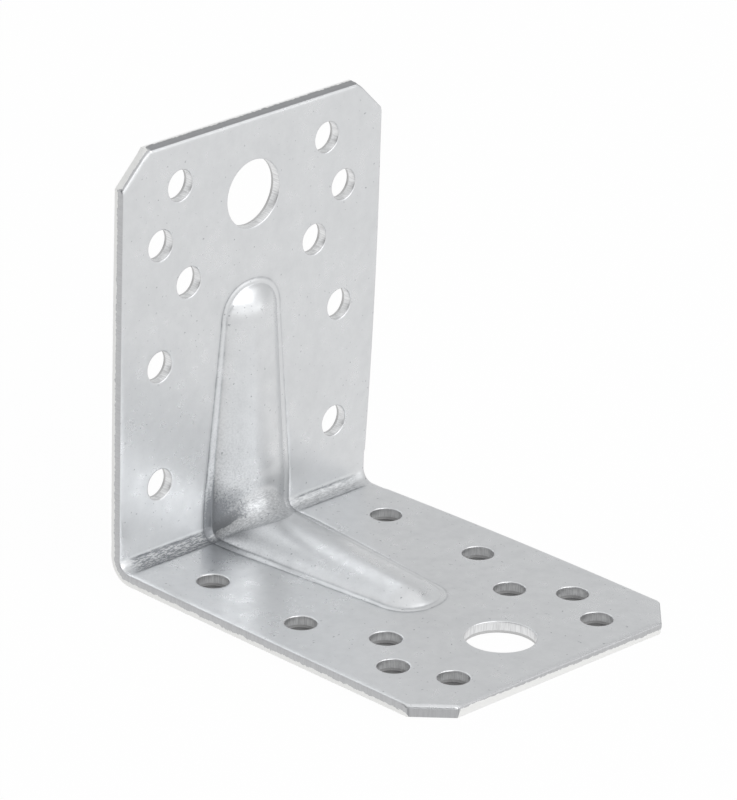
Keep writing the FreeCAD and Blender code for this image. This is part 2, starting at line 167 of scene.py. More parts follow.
@dataclass(frozen=True)
class Row:
    """A line across the sheet: on the bend, easing out of it, or at a distance along the flange."""

    turn: float | None = None
    ease: float | None = None
    reach: float = 0.0

    def lift(self, gauge: Gauge, across: np.ndarray, level: np.ndarray, rise: np.ndarray) -> np.ndarray:
        """Place sheet points in the working frame, as if on the base flange.

        Args:
            gauge: The sheet's shared sizes.
            across: Y of the points.
            level: Height of the points over the outer face of the flat sheet.
            rise: How far the press has lifted the sheet there.

        Returns:
            One X, Y, Z row for each point.
        """
        slack = (gauge.ridge_radius - gauge.bend_radius) * np.clip(rise / gauge.full_rise, 0.0, 1.0) ** 2
        centre = gauge.flat_start + rise + slack
        if self.turn is not None:
            radius = gauge.flat_start - level + slack
            angle = HALF_BEND + self.turn
            along = centre - radius * math.cos(angle)
            up = centre - radius * math.sin(angle)
        else:
            up = level + rise
            along = np.full_like(up, self.reach)
            if self.ease is not None:
                along = centre + self.ease * (gauge.level_reach - centre)
        return np.stack([along, across, up], axis=-1)

    def plain_reach(self, gauge: Gauge) -> float:
        """Work out the row's distance from the heel on the plain sheet, past the bend.

        Args:
            gauge: The sheet's shared sizes.

        Returns:
            The distance, which is the same for every row on the bend.
        """
        if self.turn is not None:
            return gauge.flat_start
        if self.ease is not None:
            return gauge.flat_start + self.ease * (gauge.level_reach - gauge.flat_start)
        return self.reach

    def run(self, gauge: Gauge) -> float:
        """Work out the row's distance from the mitre, along the plain sheet's inner side.

        Args:
            gauge: The sheet's shared sizes.

        Returns:
            The distance, round the bend and on along the flat.
        """
        if self.turn is not None:
            return gauge.bend_radius * self.turn
        return gauge.bend_radius * HALF_BEND + self.plain_reach(gauge) - gauge.flat_start


class Mark(Enum):
    """What the points of the sheet carry for its finishes."""

    DEPTH = "depth"
    """How deep in the sheet a point lies, from 0 at the inner side to 1."""
    BURNISH = "burnish"
    """The depth at which the smooth part of a cut wall ends there."""
    STRAIN = "strain"
    # How strongly the press has stretched the zinc, with painted shade on the bead's near flank and by the
    # bend, from 0 to 1.
    """How strongly the press has stretched the zinc, from 0 to 1."""
    GALL = "gall"
    # How strongly the bending tool has rubbed the zinc, with painted shade in the concave bend, most on its
    # near side, from 0 to 1.
    """How strongly the bending tool has rubbed the zinc, from 0 to 1."""
    CREASE = "crease"
    # How strongly painted shade darkens a point in one of the bead's sharp creases or along the tool's
    # coined line, from 0 to 1.
    """How deep in one of the bead's sharp creases a point lies, from 0 to 1."""
    ALONG = "along"
    """Distance round a cut wall, in millimetres."""


Marks = dict[Mark, np.ndarray]


@dataclass
class Shell:
    """Points and faces of the sheet, gathered before they are welded into one mesh."""

    points: list[np.ndarray] = field(default_factory=list)
    marks: dict[Mark, list[np.ndarray]] = field(default_factory=lambda: {mark: [] for mark in Mark})
    faces: list[tuple[int, ...]] = field(default_factory=list)
    skins: list[int] = field(default_factory=list)
    count: int = 0

    def add(
        self,
        points: np.ndarray,
        faces: Iterable[Sequence[int]],
        skins: Iterable[Skin],
        marks: Marks | None = None,
    ) -> None:
        """Add points, and faces that number them from zero.

        Args:
            points: One X, Y, Z row for each point, in the working frame.
            faces: The faces, as indices into the points.
            skins: The finish of each face.
            marks: What the points carry, zero where a mark is left out.
        """
        size = len(points)
        self.points.append(points)
        for mark in Mark:
            self.marks[mark].append((marks or {}).get(mark, np.zeros(size)).reshape(-1))
        self.faces.extend(tuple(int(i) + self.count for i in face) for face in faces)
        self.skins.extend(skin.value for skin in skins)
        self.count += size

    def add_grid(
        self,
        grid: np.ndarray,
        skins: Callable[[int, int], Skin] | None = None,
        marks: Marks | None = None,
    ) -> None:
        """Add a grid of points as quads.

        Args:
            grid: Points in rows and columns.
            skins: Gives the finish of the quad at a row and column, zinc if left out.
            marks: What the points carry.
        """
        rows, columns = grid.shape[:2]
        faces, finishes = [], []
        for row in range(rows - 1):
            for column in range(columns - 1):
                corner = row * columns + column
                faces.append((corner, corner + 1, corner + columns + 1, corner + columns))
                finishes.append(skins(row, column) if skins else Skin.ZINC)
        self.add(grid.reshape(-1, 3), faces, finishes, marks)

    def absorb(self, other: "Shell", flange: Flange) -> None:
        """Add another shell, swung from the base flange to the flange it belongs to.

        Args:
            other: The shell, built as a base flange.
            flange: The flange it belongs to.
        """
        points = np.concatenate(other.points)
        if flange is Flange.UPRIGHT:
            points = points[:, ::-1]
        marks = {mark: np.concatenate(values) for mark, values in other.marks.items()}
        self.add(points, other.faces, [Skin(skin) for skin in other.skins], marks)


@dataclass(frozen=True)
class Bead:
    """The stiffening bead: crisp double creases inside, and a plain hollow behind."""

    heel_foot: float = 9.17
    heel_crease: float = 7.84
    heel_rise: float = 3.2
    end_foot: float = 6.26
    end_crease: float = 5.41
    end_rise: float = 2.3
    end_centre: float = 36.9
    band_slope: float = math.radians(12)
    crease_half: float = 0.24
    groove_half: float = 0.15
    groove_depth: float = 0.06
    # Painted shade in the inner crease, and on the far side, as shares of the near foot's
    inner_crease_shade: float = 0.6
    far_crease_shade: float = 0.4
    taper_start: float = 8.0
    crest_columns: int = 15
    crease_columns: int = 5
    band_columns: int = 4
    margins: tuple[float, float] = (0.7, 1.1)
    slope_steps: int = 700
    slope_margin: float = 1.2
    hollow_heel_foot: float = 9.0
    hollow_end_foot: float = 6.3
    hollow_foot_radius: float = 4.5
    hollow_crest_columns: int = 10
    hollow_ease_columns: int = 8
    hollow_margins: tuple[float, float] = (0.5, 1.1)
    squareness: float = 2.25

    def share(self, reach: float) -> float:
        """Return how far along its taper the bead is, from 0 at the bend to 1 at its end."""
        return min(max((reach - self.taper_start) / (self.end_centre - self.taper_start), 0.0), 1.0)

    def lines(self, share: float) -> tuple[float, float, float]:
        """Work out the main lines of the inner side.

        Args:
            share: How far along its taper the bead is.

        Returns:
            The distances of the foot and of the crease from the middle line, and the rise.
        """
        foot = self.heel_foot + share * (self.end_foot - self.heel_foot)
        crease = self.heel_crease + share * (self.end_crease - self.heel_crease)
        return foot, crease, self.heel_rise + share * (self.end_rise - self.heel_rise)

    def inner_columns(self, share: float) -> np.ndarray:
        """Lay out the columns of the inner side.

        Args:
            share: How far along its taper the bead is.

        Returns:
            Their distances from the middle line.
        """
        foot, crease, _ = self.lines(share)
        bend = self.crease_half * np.linspace(-1.0, 1.0, self.crease_columns)
        crest = np.linspace(0.0, 1.0, self.crest_columns)[:-1] * (crease - self.crease_half)
        band = np.linspace(crease + self.crease_half, foot - self.crease_half, self.band_columns)
        return np.concatenate([crest, crease + bend, band[1:-1], foot + bend, foot + np.array(self.margins)])

    def inner_rise(self, share: float, across: np.ndarray) -> np.ndarray:
        """Work out how far the inner side is lifted.

        Args:
            share: How far along its taper the bead is.
            across: Distances from the middle line.

        Returns:
            The lift at each distance.
        """
        foot, crease, rise = self.lines(share)
        band_rise = (foot - crease) * math.tan(self.band_slope)
        flank = 2 * math.atan((rise - band_rise) / crease)
        crown = crease / math.sin(flank)
        fine = np.linspace(0.0, foot + self.slope_margin, self.slope_steps)
        slope = np.arcsin(np.minimum(fine / crown, math.sin(flank)))
        slope = blend(slope, self.band_slope, fine, crease, self.crease_half)
        slope = blend(slope, 0.0, fine, foot, self.crease_half)
        steps = np.tan(slope)
        lifted = np.concatenate([[0.0], np.cumsum((steps[1:] + steps[:-1]) / 2 * np.diff(fine))])
        height = (lifted[-1] - lifted) * rise / lifted[-1]
        for line in (crease, foot):
            height -= self.groove_depth * self.groove(fine, line)
        return np.interp(across, fine, height)

    def groove(self, across: np.ndarray, line: float) -> np.ndarray:
        """Return how deep in the groove along a line some places are, from 0 to 1."""
        return np.exp(-(((across - line) / self.groove_half) ** 2))

    def creased(self, side: Side, share: float, across: np.ndarray) -> np.ndarray:
        """Work out how strongly painted shade darkens some places in the creases, most on the near side.

        Args:
            side: Which side of the sheet.
            share: How far along its taper the bead is.
            across: Distances from the middle line, below zero on the near side.

        Returns:
            The share of the painted crease shade at each distance.
        """
        if side is Side.OUTER:
            return np.zeros_like(across)
        foot, crease, _ = self.lines(share)
        outer = self.groove(np.abs(across), foot)
        inner = self.groove(np.abs(across), crease)
        return np.where(across < 0, outer + self.inner_crease_shade * inner, self.far_crease_shade * outer)

    def end_crease_shade(self, side: Side, across: np.ndarray, steps: int) -> np.ndarray:
        """Work out the same round the bead's end, from its near side to its far side.

        Args:
            side: Which side of the sheet.
            across: Distances from the centre of the rounded end.
            steps: Steps round the end.

        Returns:
            The share of the painted crease shade, one row for each step.
        """
        near, far = self.creased(side, 1.0, -across), self.creased(side, 1.0, across)
        turn = np.linspace(0.0, 1.0, steps + 1)[:, None]
        return near[None, :] * (1 - turn) ** 2 + far[None, :] * (1 - (1 - turn) ** 2)

    def hollow_size(self, share: float) -> tuple[float, float, float, float]:
        """Work out the hollow's sizes.

        Args:
            share: How far along its taper the bead is.

        Returns:
            The foot's distance from the middle line, the rise, the crown's radius and its reach.
        """
        foot = self.hollow_heel_foot + share * (self.hollow_end_foot - self.hollow_heel_foot)
        rise = self.lines(share)[2]
        eased = self.hollow_foot_radius
        crown = (foot**2 + rise**2 - 2 * eased * rise) / (2 * rise)
        return foot, rise, crown, crown * foot / (eased + crown)

    def hollow_columns(self, share: float) -> np.ndarray:
        """Lay out the columns of the hollow.

        Args:
            share: How far along its taper the bead is.

        Returns:
            Their distances from the middle line.
        """
        foot, _, _, joint = self.hollow_size(share)
        crest = np.linspace(0.0, 1.0, self.hollow_crest_columns) * joint
        ease = joint + np.linspace(0.0, 1.0, self.hollow_ease_columns)[1:] * (foot - joint)
        return np.concatenate([crest, ease, foot + np.array(self.hollow_margins)])

    def hollow_rise(self, share: float, across: np.ndarray) -> np.ndarray:
        """Work out how deep the hollow is.

        Args:
            share: How far along its taper the bead is.
            across: Distances from the middle line.

        Returns:
            The depth at each distance.
        """
        foot, rise, crown, joint = self.hollow_size(share)
        eased = self.hollow_foot_radius
        crest = rise - crown + np.sqrt(np.maximum(crown**2 - across**2, 0.0))
        ease = eased - np.sqrt(np.maximum(eased**2 - (foot - across) ** 2, 0.0))
        return np.where(across < joint, crest, np.where(across < foot, ease, 0.0))


def blend(before: np.ndarray, after: float, place: np.ndarray, middle: float, half: float) -> np.ndarray:
    """Pass smoothly from one set of values to another value.

    Args:
        before: Values before the change.
        after: Value after it.
        place: Where each value stands.
        middle: Where the change is half done.
        half: Half the length of the change.

    Returns:
        The values after blending.
    """
    share = np.clip((place - middle + half) / (2 * half), 0.0, 1.0)
    share = share * share * (3 - 2 * share)
    return before * (1 - share) + after * share


@dataclass(frozen=True)
class Hole:
    """A round hole in a flange: its place from the heel and across, and its radius."""

    reach: float
    across: float
    radius: float


@dataclass(frozen=True)
class Punching:
    """The form that punching leaves on a hole, as offsets from its radius and shares of depth."""

    around: int = 64
    rim: tuple[tuple[float, float], ...] = (
        (0.65, 0.0), (0.34, 0.0), (0.21, 0.003), (0.12, 0.013), (0.05, 0.033), (0.012, 0.065),
        (0.0, 0.12), (0.0, 0.28), (0.0, 0.42), (0.0, 0.56), (0.0, 0.7), (0.02, 0.77),
        (0.06, 0.82), (0.09, 0.91), (0.13, 1.0), (0.3, 1.0), (0.5, 1.0),
    )
    wall_from: int = 4
    wall_to: int = 14
    burnish: float = 0.76
    tear_depth: float = 0.12
    tear_scale: float = 5.0
    tear_starts: Span = Span(0.5, 0.66)
    tear_ends: Span = Span(0.9, 1.0, 1.0, 0.0)
    seed: int = 5

    @property
    def inner_margin(self) -> float:
        """How far the punched form reaches past the hole's radius on the inner side."""
        return self.rim[0][0]

    @property
    def outer_margin(self) -> float:
        """How far it reaches past the radius on the outer side."""
        return self.rim[-1][0]


@dataclass(frozen=True)
class Shearing:
    """The form that shearing leaves on the outline, as offsets outwards and levels over the outer face."""

    profile: tuple[tuple[float, float], ...] = (
        (-1.2, 2.0), (-1.05, 2.0), (-0.85, 1.994), (-0.65, 1.978), (-0.46, 1.948), (-0.3, 1.9),
        (-0.16, 1.825), (-0.06, 1.73), (0.0, 1.58), (0.0, 1.35), (0.0, 1.12), (-0.01, 0.98),
        (-0.04, 0.88), (-0.07, 0.6), (-0.1, 0.35), (-0.13, 0.1), (-0.19, 0.0), (-0.5, 0.0), (-1.0, 0.0),
    )
    wall_from: int = 6
    rolled_from: int = 8
    wall_to: int = 16
    tear_from: int = 11
    tear_to: int = 15
    tear_depth: float = 0.06
    tear_blur: tuple[float, float, float] = (0.25, 0.5, 0.25)
    tear_ease: float = 6.0
    spacing: float = 0.55
    seed: int = 11
    cut_lean: float = 0.1
    near_cut_roll: float = 1.2
    end_roll: float = 0.5
    end_slant: float = 0.5
    end_lift: float = 0.14
    slant_from: float = 1.0
    side_roll: float = 0.45
    wall_margin: float = 0.01
    side_burnish: float = 0.66
    cut_burnish: dict[Flange, float] = field(
        default_factory=lambda: {Flange.BASE: 1.2, Flange.UPRIGHT: 0.3}
    )
    end_burnish: dict[Flange, tuple[float, float]] = field(
        default_factory=lambda: {Flange.BASE: (0.28, 0.62), Flange.UPRIGHT: (0.84, 0.84)}
    )

    def rolled(self, levels: np.ndarray, thickness: float, roll: float) -> np.ndarray:
        """Shape the levels where shearing has drawn the inner side over more or less.

        Args:
            levels: The profile's levels.
            thickness: The sheet's thickness.
            roll: How far it is drawn over, as a share of the profile's own roll.

        Returns:
            The new levels.
        """
        lowest = levels[self.rolled_from]
        drawn = thickness - roll * (thickness - levels)
        below = levels * (thickness - roll * (thickness - lowest)) / lowest
        return np.where(levels >= lowest, drawn, below)

    def slanted(self, offsets: np.ndarray, levels: np.ndarray, thickness: float) -> np.ndarray:
        """Tilt the wall as if it was cut aslant, set back most by the inner side.

        Args:
            offsets: The profile's offsets, the first of them where it joins the flat.
            levels: Its levels.
            thickness: The sheet's thickness.

        Returns:
            The new offsets.
        """
        reach = np.clip(1 - offsets / offsets[0], 0.0, 1.0)
        return offsets + reach * (self.end_lift - self.end_slant * levels / thickness)


@dataclass
class PressedSheet:
    """The sheet itself, from its bead and bend to its sheared outline."""

    gauge: Gauge
    bead: Bead
    punching: Punching
    shearing: Shearing
    holes: list[Hole]
    bend_rows: int = 14
    eases: tuple[float, ...] = (0.025, 0.06, 0.12, 0.34, 0.67)
    strip_eases: int = 4
    taper_rows: int = 30
    dome_steps: int = 36
    strip_columns: int = 12
    coin_depth: float = 0.05
    coin_half: float = 0.13
    # Painted shade along the tool's coined line
    coin_line_shade: float = 0.7
    coin_starts: float = 0.08
    coin_ends: float = 0.2
    coin_turns: dict[Flange, float] = field(
        default_factory=lambda: {Flange.BASE: HALF_BEND, Flange.UPRIGHT: math.radians(22)}
    )
    # Painted shade in the concave bend, strongest by the near foot, with the tool's scuffs
    gall_and_shade_band: float = 2.5
    gall_and_shade_past: float = 0.15
    gall_and_shade_fade: float = 0.3
    gall_and_shade_end: float = 0.12
    far_gall_and_shade: float = 0.5
    ridge_gall_and_shade: float = 0.45
    bend_end: float = 6.0
    # Painted shade and grain are stronger on the upright flange
    strain_and_shade_strengths: dict[Flange, float] = field(
        default_factory=lambda: {Flange.BASE: 0.45, Flange.UPRIGHT: 1.0}
    )
    # Painted shade leans to the near flank and fades past the bend
    strain_and_shade_spread: float = 10.0
    strain_and_shade_edge: float = 0.6
    strain_and_shade_middle: float = 0.25
    strain_and_shade_lean: float = 0.9
    strain_and_shade_least: float = 0.05
    # Painted shade in the creases: its plain strength, the extra at the bend, and how fast that fades
    plain_crease_shade: float = 0.7
    bend_crease_shade: float = 0.8
    crease_shade_spread: float = 14.0

    def bend_part(self) -> list[Row]:
        """Return the rows from the mitre to where the plain strips beside the bead end."""
        turns = [Row(turn=HALF_BEND * k / self.bend_rows) for k in range(self.bend_rows + 1)]
        return turns + [Row(ease=ease) for ease in self.eases[: self.strip_eases]]

    def bead_part(self) -> list[Row]:
        """List the rows of the bead, from the mitre to the centre of its rounded end.

        Returns:
            The rows.
        """
        late = [Row(ease=ease) for ease in self.eases[self.strip_eases :]]
        reaches = np.linspace(self.gauge.level_reach, self.bead.end_centre, self.taper_rows + 1)
        return self.bend_part() + late + [Row(reach=float(reach)) for reach in reaches]

    def build(self, flange: Flange) -> Shell:
        """Build one flange as a base flange, from the mitre to its free end.

        Args:
            flange: Which flange it will be.

        Returns:
            Its shell, open at the mitre and at the holes.
        """
        shell = Shell()
        rims = self.add_sheared_edge(shell, flange)
        for side in Side:
            ridge = self.add_bead(shell, side, flange)
            self.add_strips(shell, side, ridge, rims[side], flange)
            self.add_flat(shell, side, ridge, rims[side])
        return shell

    def columns(self, side: Side, share: float) -> tuple[np.ndarray, np.ndarray]:
        """Lay out the bead's columns on one side of the sheet.

        Args:
            side: Which side of the sheet.
            share: How far along its taper the bead is.

        Returns:
            The columns' distances from the middle line, and their rise.
        """
        if side is Side.INNER:
            across = self.bead.inner_columns(share)
            return across, self.bead.inner_rise(share, across)
        across = self.bead.hollow_columns(share)
        return across, self.bead.hollow_rise(share, across)

    def level(self, side: Side) -> float:
        """Return the level of one side of the sheet over the outer face."""
        return self.gauge.thickness if side is Side.INNER else 0.0

    def add_bead(self, shell: Shell, side: Side, flange: Flange) -> dict[str, np.ndarray]:
        """Add the bead on one side of the sheet.

        Args:
            shell: Takes the faces.
            side: Which side of the sheet.
            flange: Which flange it will be.

        Returns:
            The bead's boundary: "near" and "far" from the mitre outwards, and "tip" between.
        """
        level = self.level(side)
        grid, strain, gall, crease = [], [], [], []
        for row in self.bead_part():
            reach = row.plain_reach(self.gauge)
            share = self.bead.share(reach)
            across, rise = self.columns(side, share)
            foot = across[FOOT_COLUMN]
            both = np.concatenate([-across[:0:-1], across])
            rises = np.concatenate([rise[:0:-1], rise])
            grid.append(row.lift(self.gauge, both, np.full_like(both, level), rises))
            # Stretch, and painted shade on the near flank
            strain.append(self.strain_and_shade_at(side, reach, both, foot) * self.strain_and_shade_strengths[flange])
            # Painted shade by the bead's feet in the bend, strongest on the near side
            band = np.clip((np.abs(both) - foot + self.gall_and_shade_band) / self.gall_and_shade_band, 0.0, 1.0)
            band = np.maximum(np.where(both < 0, band, self.far_gall_and_shade * band), self.ridge_gall_and_shade)
            gall.append(self.galled_and_shaded(side, row, flange) * band)
            # Painted shade in the creases
            crease.append(self.bead.creased(side, share, both) * self.crease_shade_strength(reach))
        grid = np.array(grid)
        marks = {Mark.STRAIN: np.array(strain), Mark.GALL: np.array(gall), Mark.CREASE: np.array(crease)}
        shell.add_grid(grid, marks=marks)
        tip = self.add_dome(shell, side, flange)
        return {"near": grid[:, 0], "far": grid[:, -1], "tip": tip}

    def add_dome(self, shell: Shell, side: Side, flange: Flange) -> np.ndarray:
        """Add the bead's rounded end on one side of the sheet.

        Args:
            shell: Takes the faces.
            side: Which side of the sheet.
            flange: Which flange it will be.

        Returns:
            Its boundary, from the near side to the far side.
        """
        across, rise = self.columns(side, 1.0)
        power = self.bead.squareness
        rings, strain = [], []
        for step in range(self.dome_steps + 1):
            angle = math.pi * (step / self.dome_steps - 0.5)
            stretch = (abs(math.cos(angle)) ** power + abs(math.sin(angle)) ** power) ** (-1 / power)
            along = self.bead.end_centre + across * stretch * math.cos(angle)
            sideways = across * stretch * math.sin(angle)
            rings.append(np.stack([along, sideways, self.level(side) + rise], axis=-1))
            pressed = self.strain_and_shade_at(side, self.bead.end_centre, sideways, across[FOOT_COLUMN])
            strain.append(pressed * self.strain_and_shade_strengths[flange])
        crease = self.bead.end_crease_shade(side, across, self.dome_steps)
        rings = np.array(rings)
        shell.add_grid(rings, marks={Mark.STRAIN: np.array(strain), Mark.CREASE: crease})
        return rings[:, -1]

    def past_bend(self, reach: float, spread: float) -> float:
        """Return 1 on the bend, and ever less past it."""
        return math.exp(-max(reach - self.bend_end, 0.0) / spread)

    def crease_shade_strength(self, reach: float) -> float:
        """Return how strong the painted shade in the creases is at a distance from the heel: most at the
        bend.
        """
        return self.plain_crease_shade + self.bend_crease_shade * self.past_bend(reach, self.crease_shade_spread)

    def galled_and_shaded(self, side: Side, row: Row, flange: Flange) -> float:
        """Work out how strongly the bending tool has rubbed a row, with painted shade in the concave bend:
        all of it between its two lines.

        Args:
            side: Which side of the sheet.
            row: The row.
            flange: Which flange it will be.

        Returns:
            The strength, from 0 to 1.
        """
        if side is Side.OUTER:
            return 0.0
        end = self.gauge.bend_radius * self.coin_turns[flange] + self.gall_and_shade_past
        return min(max((end + self.gall_and_shade_fade - row.run(self.gauge)) / self.gall_and_shade_fade, 0.0), 1.0)

    def strain_and_shade_at(self, side: Side, reach: float, across: np.ndarray, foot: float) -> np.ndarray:
        """Work out how strongly the zinc is stretched and painted shade darkens it: most at the bend, on the
        near flank.

        Args:
            side: Which side of the sheet.
            reach: Distance from the heel.
            across: Distances from the middle line, below zero on the near side.
            foot: Distance of the bead's foot.

        Returns:
            The strength at each distance, from 0 to 1.
        """
        if side is Side.OUTER:
            return np.zeros_like(across)
        inside = np.clip((foot - np.abs(across)) / self.strain_and_shade_edge, 0.0, 1.0)
        fade = self.strain_and_shade_least + (1 - self.strain_and_shade_least) * self.past_bend(reach, self.strain_and_shade_spread)
        lean = np.clip(self.strain_and_shade_middle - self.strain_and_shade_lean * across / foot, self.strain_and_shade_least, 1.0)
        return inside * fade * lean

    def add_sheared_edge(self, shell: Shell, flange: Flange) -> dict[Side, dict[str, np.ndarray]]:
        """Add the sheared wall round the flange, from the mitre to the mitre.

        Args:
            shell: Takes the faces.
            flange: Which flange it will be.

        Returns:
            For each side of the sheet its rim: "near" and "far" beside the bend, "round" past it.
        """
        gauge, form = self.gauge, self.shearing
        offsets, levels = np.array(form.profile).T
        rows = self.bend_part()
        count = len(rows)
        path, normals, smooth = self.outline_path(flange)
        jagged = self.tear(2 * count + len(path))
        cuts = np.repeat(offsets[None, :], len(jagged), axis=0)
        cuts[:, form.tear_from : form.tear_to + 1] -= jagged[:, None]
        unlifted = np.zeros_like(levels)
        beside = form.rolled(levels, gauge.thickness, form.side_roll)
        near_edge = gauge.near_draw - gauge.width / 2
        far_edge = gauge.width / 2 - gauge.far_draw
        near = [row.lift(gauge, near_edge - cut, beside, unlifted) for row, cut in zip(rows, cuts)]
        far = [row.lift(gauge, far_edge + cut, beside, unlifted) for row, cut in zip(rows, cuts[::-1])]
        flat, rolled = [], []
        for place, edge, cut in zip(path, normals, cuts[count:]):
            points, zinc_kept = self.station(flange, place, edge, cut, levels)
            flat.append(points)
            rolled.append(zinc_kept)
        grid = np.array(near + flat + far[::-1])
        rolled = [False] * count + rolled + [False] * count
        beside_smooth = [form.side_burnish] * count
        smooth = np.concatenate([beside_smooth, smooth, beside_smooth])
        steps = np.linalg.norm(np.diff(grid[:, form.wall_from], axis=0), axis=1)
        along = np.concatenate([[0.0], np.cumsum(steps)])
        shape = np.ones(grid.shape[:2])
        marks = {
            Mark.DEPTH: shape * (1 - levels / gauge.thickness)[None, :],
            Mark.BURNISH: shape * smooth[:, None],
            Mark.ALONG: shape * along[:, None],
        }

        def skin(station: int, column: int) -> Skin:
            """Return the finish between two lines of the profile."""
            first = form.rolled_from if rolled[station] and rolled[station + 1] else form.wall_from
            return Skin.SHEARED if first <= column < form.wall_to else Skin.ZINC

        shell.add_grid(grid, skin, marks)
        rims = {}
        for side, column in ((Side.INNER, 0), (Side.OUTER, -1)):
            line = grid[:, column]
            rims[side] = {
                "near": line[:count],
                "round": line[count - 1 : len(line) - count + 1],
                "far": line[len(line) - count :][::-1],
            }
        return rims

    def station(
        self,
        flange: Flange,
        place: np.ndarray,
        edge: np.ndarray,
        cut: np.ndarray,
        levels: np.ndarray,
    ) -> tuple[np.ndarray, bool]:
        """Set the sheared profile at one place of the flat outline.

        Args:
            flange: Which flange it will be.
            place: The place, from the heel and across.
            edge: The outward normal there.
            cut: How far outwards the profile's points lie.
            levels: Their levels over the outer face.

        Returns:
            The points, and whether the drawn part there keeps the zinc's finish.
        """
        gauge, form = self.gauge, self.shearing
        near_cut = flange is Flange.BASE and edge[0] > form.cut_lean and edge[1] < -form.cut_lean
        at_end = flange is Flange.UPRIGHT and place[0] > gauge.leg - form.wall_margin
        roll = 1.0
        if near_cut:
            roll = form.near_cut_roll
        elif at_end:
            roll = form.end_roll
        elif abs(edge[0]) < form.cut_lean:
            roll = form.side_roll
        if flange is Flange.UPRIGHT:
            share = min(max((place[0] - gauge.leg) / form.slant_from + 1, 0.0), 1.0)
            cut = cut + share * (form.slanted(cut, levels, gauge.thickness) - cut)
        flat = place[None, :] + cut[:, None] * edge[None, :]
        return np.column_stack([flat, form.rolled(levels, gauge.thickness, roll)]), near_cut or at_end

    def tear(self, count: int) -> np.ndarray:
        """Work out how far the torn part of the edge steps back.

        Args:
            count: The number of stations.

        Returns:
            The step at each station, none at the two mitres.
        """
        form = self.shearing
        margin = len(form.tear_blur) - 1
        rough = np.random.default_rng(form.seed).random(count + 2 * margin)
        smooth = np.convolve(rough, np.array(form.tear_blur), mode="same")[margin:-margin]
        ends = np.minimum(np.arange(count), np.arange(count)[::-1]) / form.tear_ease
        return form.tear_depth * smooth * np.clip(ends, 0.0, 1.0)

    def outline_path(self, flange: Flange) -> tuple[np.ndarray, np.ndarray, np.ndarray]:
        """Lay out the flat part of the outline, from the near side round to the far side.

        Args:
            flange: Which flange it will be.

        Returns:
            The places of its stations, their outward normals stretched for mitres, and the
            depth at which the smooth part of the cut ends at each.
        """
        gauge, form = self.gauge, self.shearing
        half, cut, leg = gauge.width / 2, gauge.corner_cut, gauge.leg
        start = self.bend_part()[-1].plain_reach(gauge)
        side = self.spaced(start, leg - cut)[1:]
        near = [(reach, -self.half_width(reach, gauge.near_draw)) for reach in side]
        far = [(reach, self.half_width(reach, gauge.far_draw)) for reach in side[::-1]]
        slant = np.linspace(0.0, 1.0, round(cut * math.sqrt(2) / form.spacing) + 1)[1:]
        near_cut = [(leg - cut + cut * t, -half + cut * t) for t in slant]
        end = [(leg, across) for across in self.spaced(cut - half, half - cut)[1:]]
        far_cut = [(leg - cut * t, half - cut + cut * t) for t in slant]
        path = np.array(near + near_cut + end + far_cut + far[1:])
        steps = np.diff(path, axis=0)
        steps /= np.linalg.norm(steps, axis=1)[:, None]
        turned = np.stack([steps[:, 1], -steps[:, 0]], axis=-1)
        before, after = np.vstack([turned[:1], turned]), np.vstack([turned, turned[-1:]])
        normals = before + after
        normals /= np.sum(normals * before, axis=1)[:, None]
        first, last = form.end_burnish[flange]
        smooth = [form.side_burnish] * len(near) + [form.cut_burnish[flange]] * len(near_cut)
        smooth += list(np.linspace(first, last, len(end)))
        smooth += [form.cut_burnish[flange]] * len(far_cut) + [form.side_burnish] * (len(far) - 1)
        return path, normals, np.array(smooth)

    def spaced(self, start: float, stop: float) -> np.ndarray:
        """Return evenly spaced places along a stretch of the outline."""
        return np.linspace(start, stop, max(round(abs(stop - start) / self.shearing.spacing), 2) + 1)

    def half_width(self, reach: float, draw: float) -> float:
        """Work out the half width of the outline on one side.

        Args:
            reach: Distance from the heel.
            draw: How far the bead has drawn that side in at the bend.

        Returns:
            The distance from the middle line.
        """
        gauge = self.gauge
        half = gauge.width / 2
        if reach >= gauge.draw_reach:
            return half
        span = gauge.draw_reach - gauge.flat_start
        radius = (span**2 + draw**2) / (2 * draw)
        lag = min(gauge.draw_reach - reach, span)
        return half - radius + math.sqrt(radius**2 - lag**2)

    def add_strips(
        self,
        shell: Shell,
        side: Side,
        ridge: dict[str, np.ndarray],
        rim: dict[str, np.ndarray],
        flange: Flange,
    ) -> None:
        """Add the plain bend between the bead and the outline, with the line the tool coined in it.

        Args:
            shell: Takes the faces.
            side: Which side of the sheet.
            ridge: The bead's boundary.
            rim: The sheared edge's boundary.
            flange: Which flange it will be.
        """
        rows = self.bend_part()
        share = np.linspace(0.0, 1.0, self.strip_columns + 1)
        for name in ("near", "far"):
            grid = []
            for row, start, end in zip(rows, ridge[name], rim[name]):
                across = start[1] + share * (end[1] - start[1])
                level = np.full_like(across, self.level(side))
                if side is Side.INNER:
                    level -= self.coined(row, flange, share)
                grid.append(row.lift(self.gauge, across, level, np.zeros_like(across)))
                grid[-1][0], grid[-1][-1] = start, end
            # Painted shade in the concave bend beside the bead, halved on the far side, with the tool's
            # scuffs
            fade = np.clip((1 - share) / self.gall_and_shade_end, 0.0, 1.0)
            fade *= 1.0 if name == "near" else self.far_gall_and_shade
            gall = np.array([self.galled_and_shaded(side, row, flange) * fade for row in rows])
            coined = np.array([self.coined(row, flange, share) for row in rows]) / self.coin_depth
            # Painted shade along the coined line
            crease = self.coin_line_shade * coined if side is Side.INNER else np.zeros_like(gall)
            shell.add_grid(np.array(grid), marks={Mark.GALL: gall, Mark.CREASE: crease})

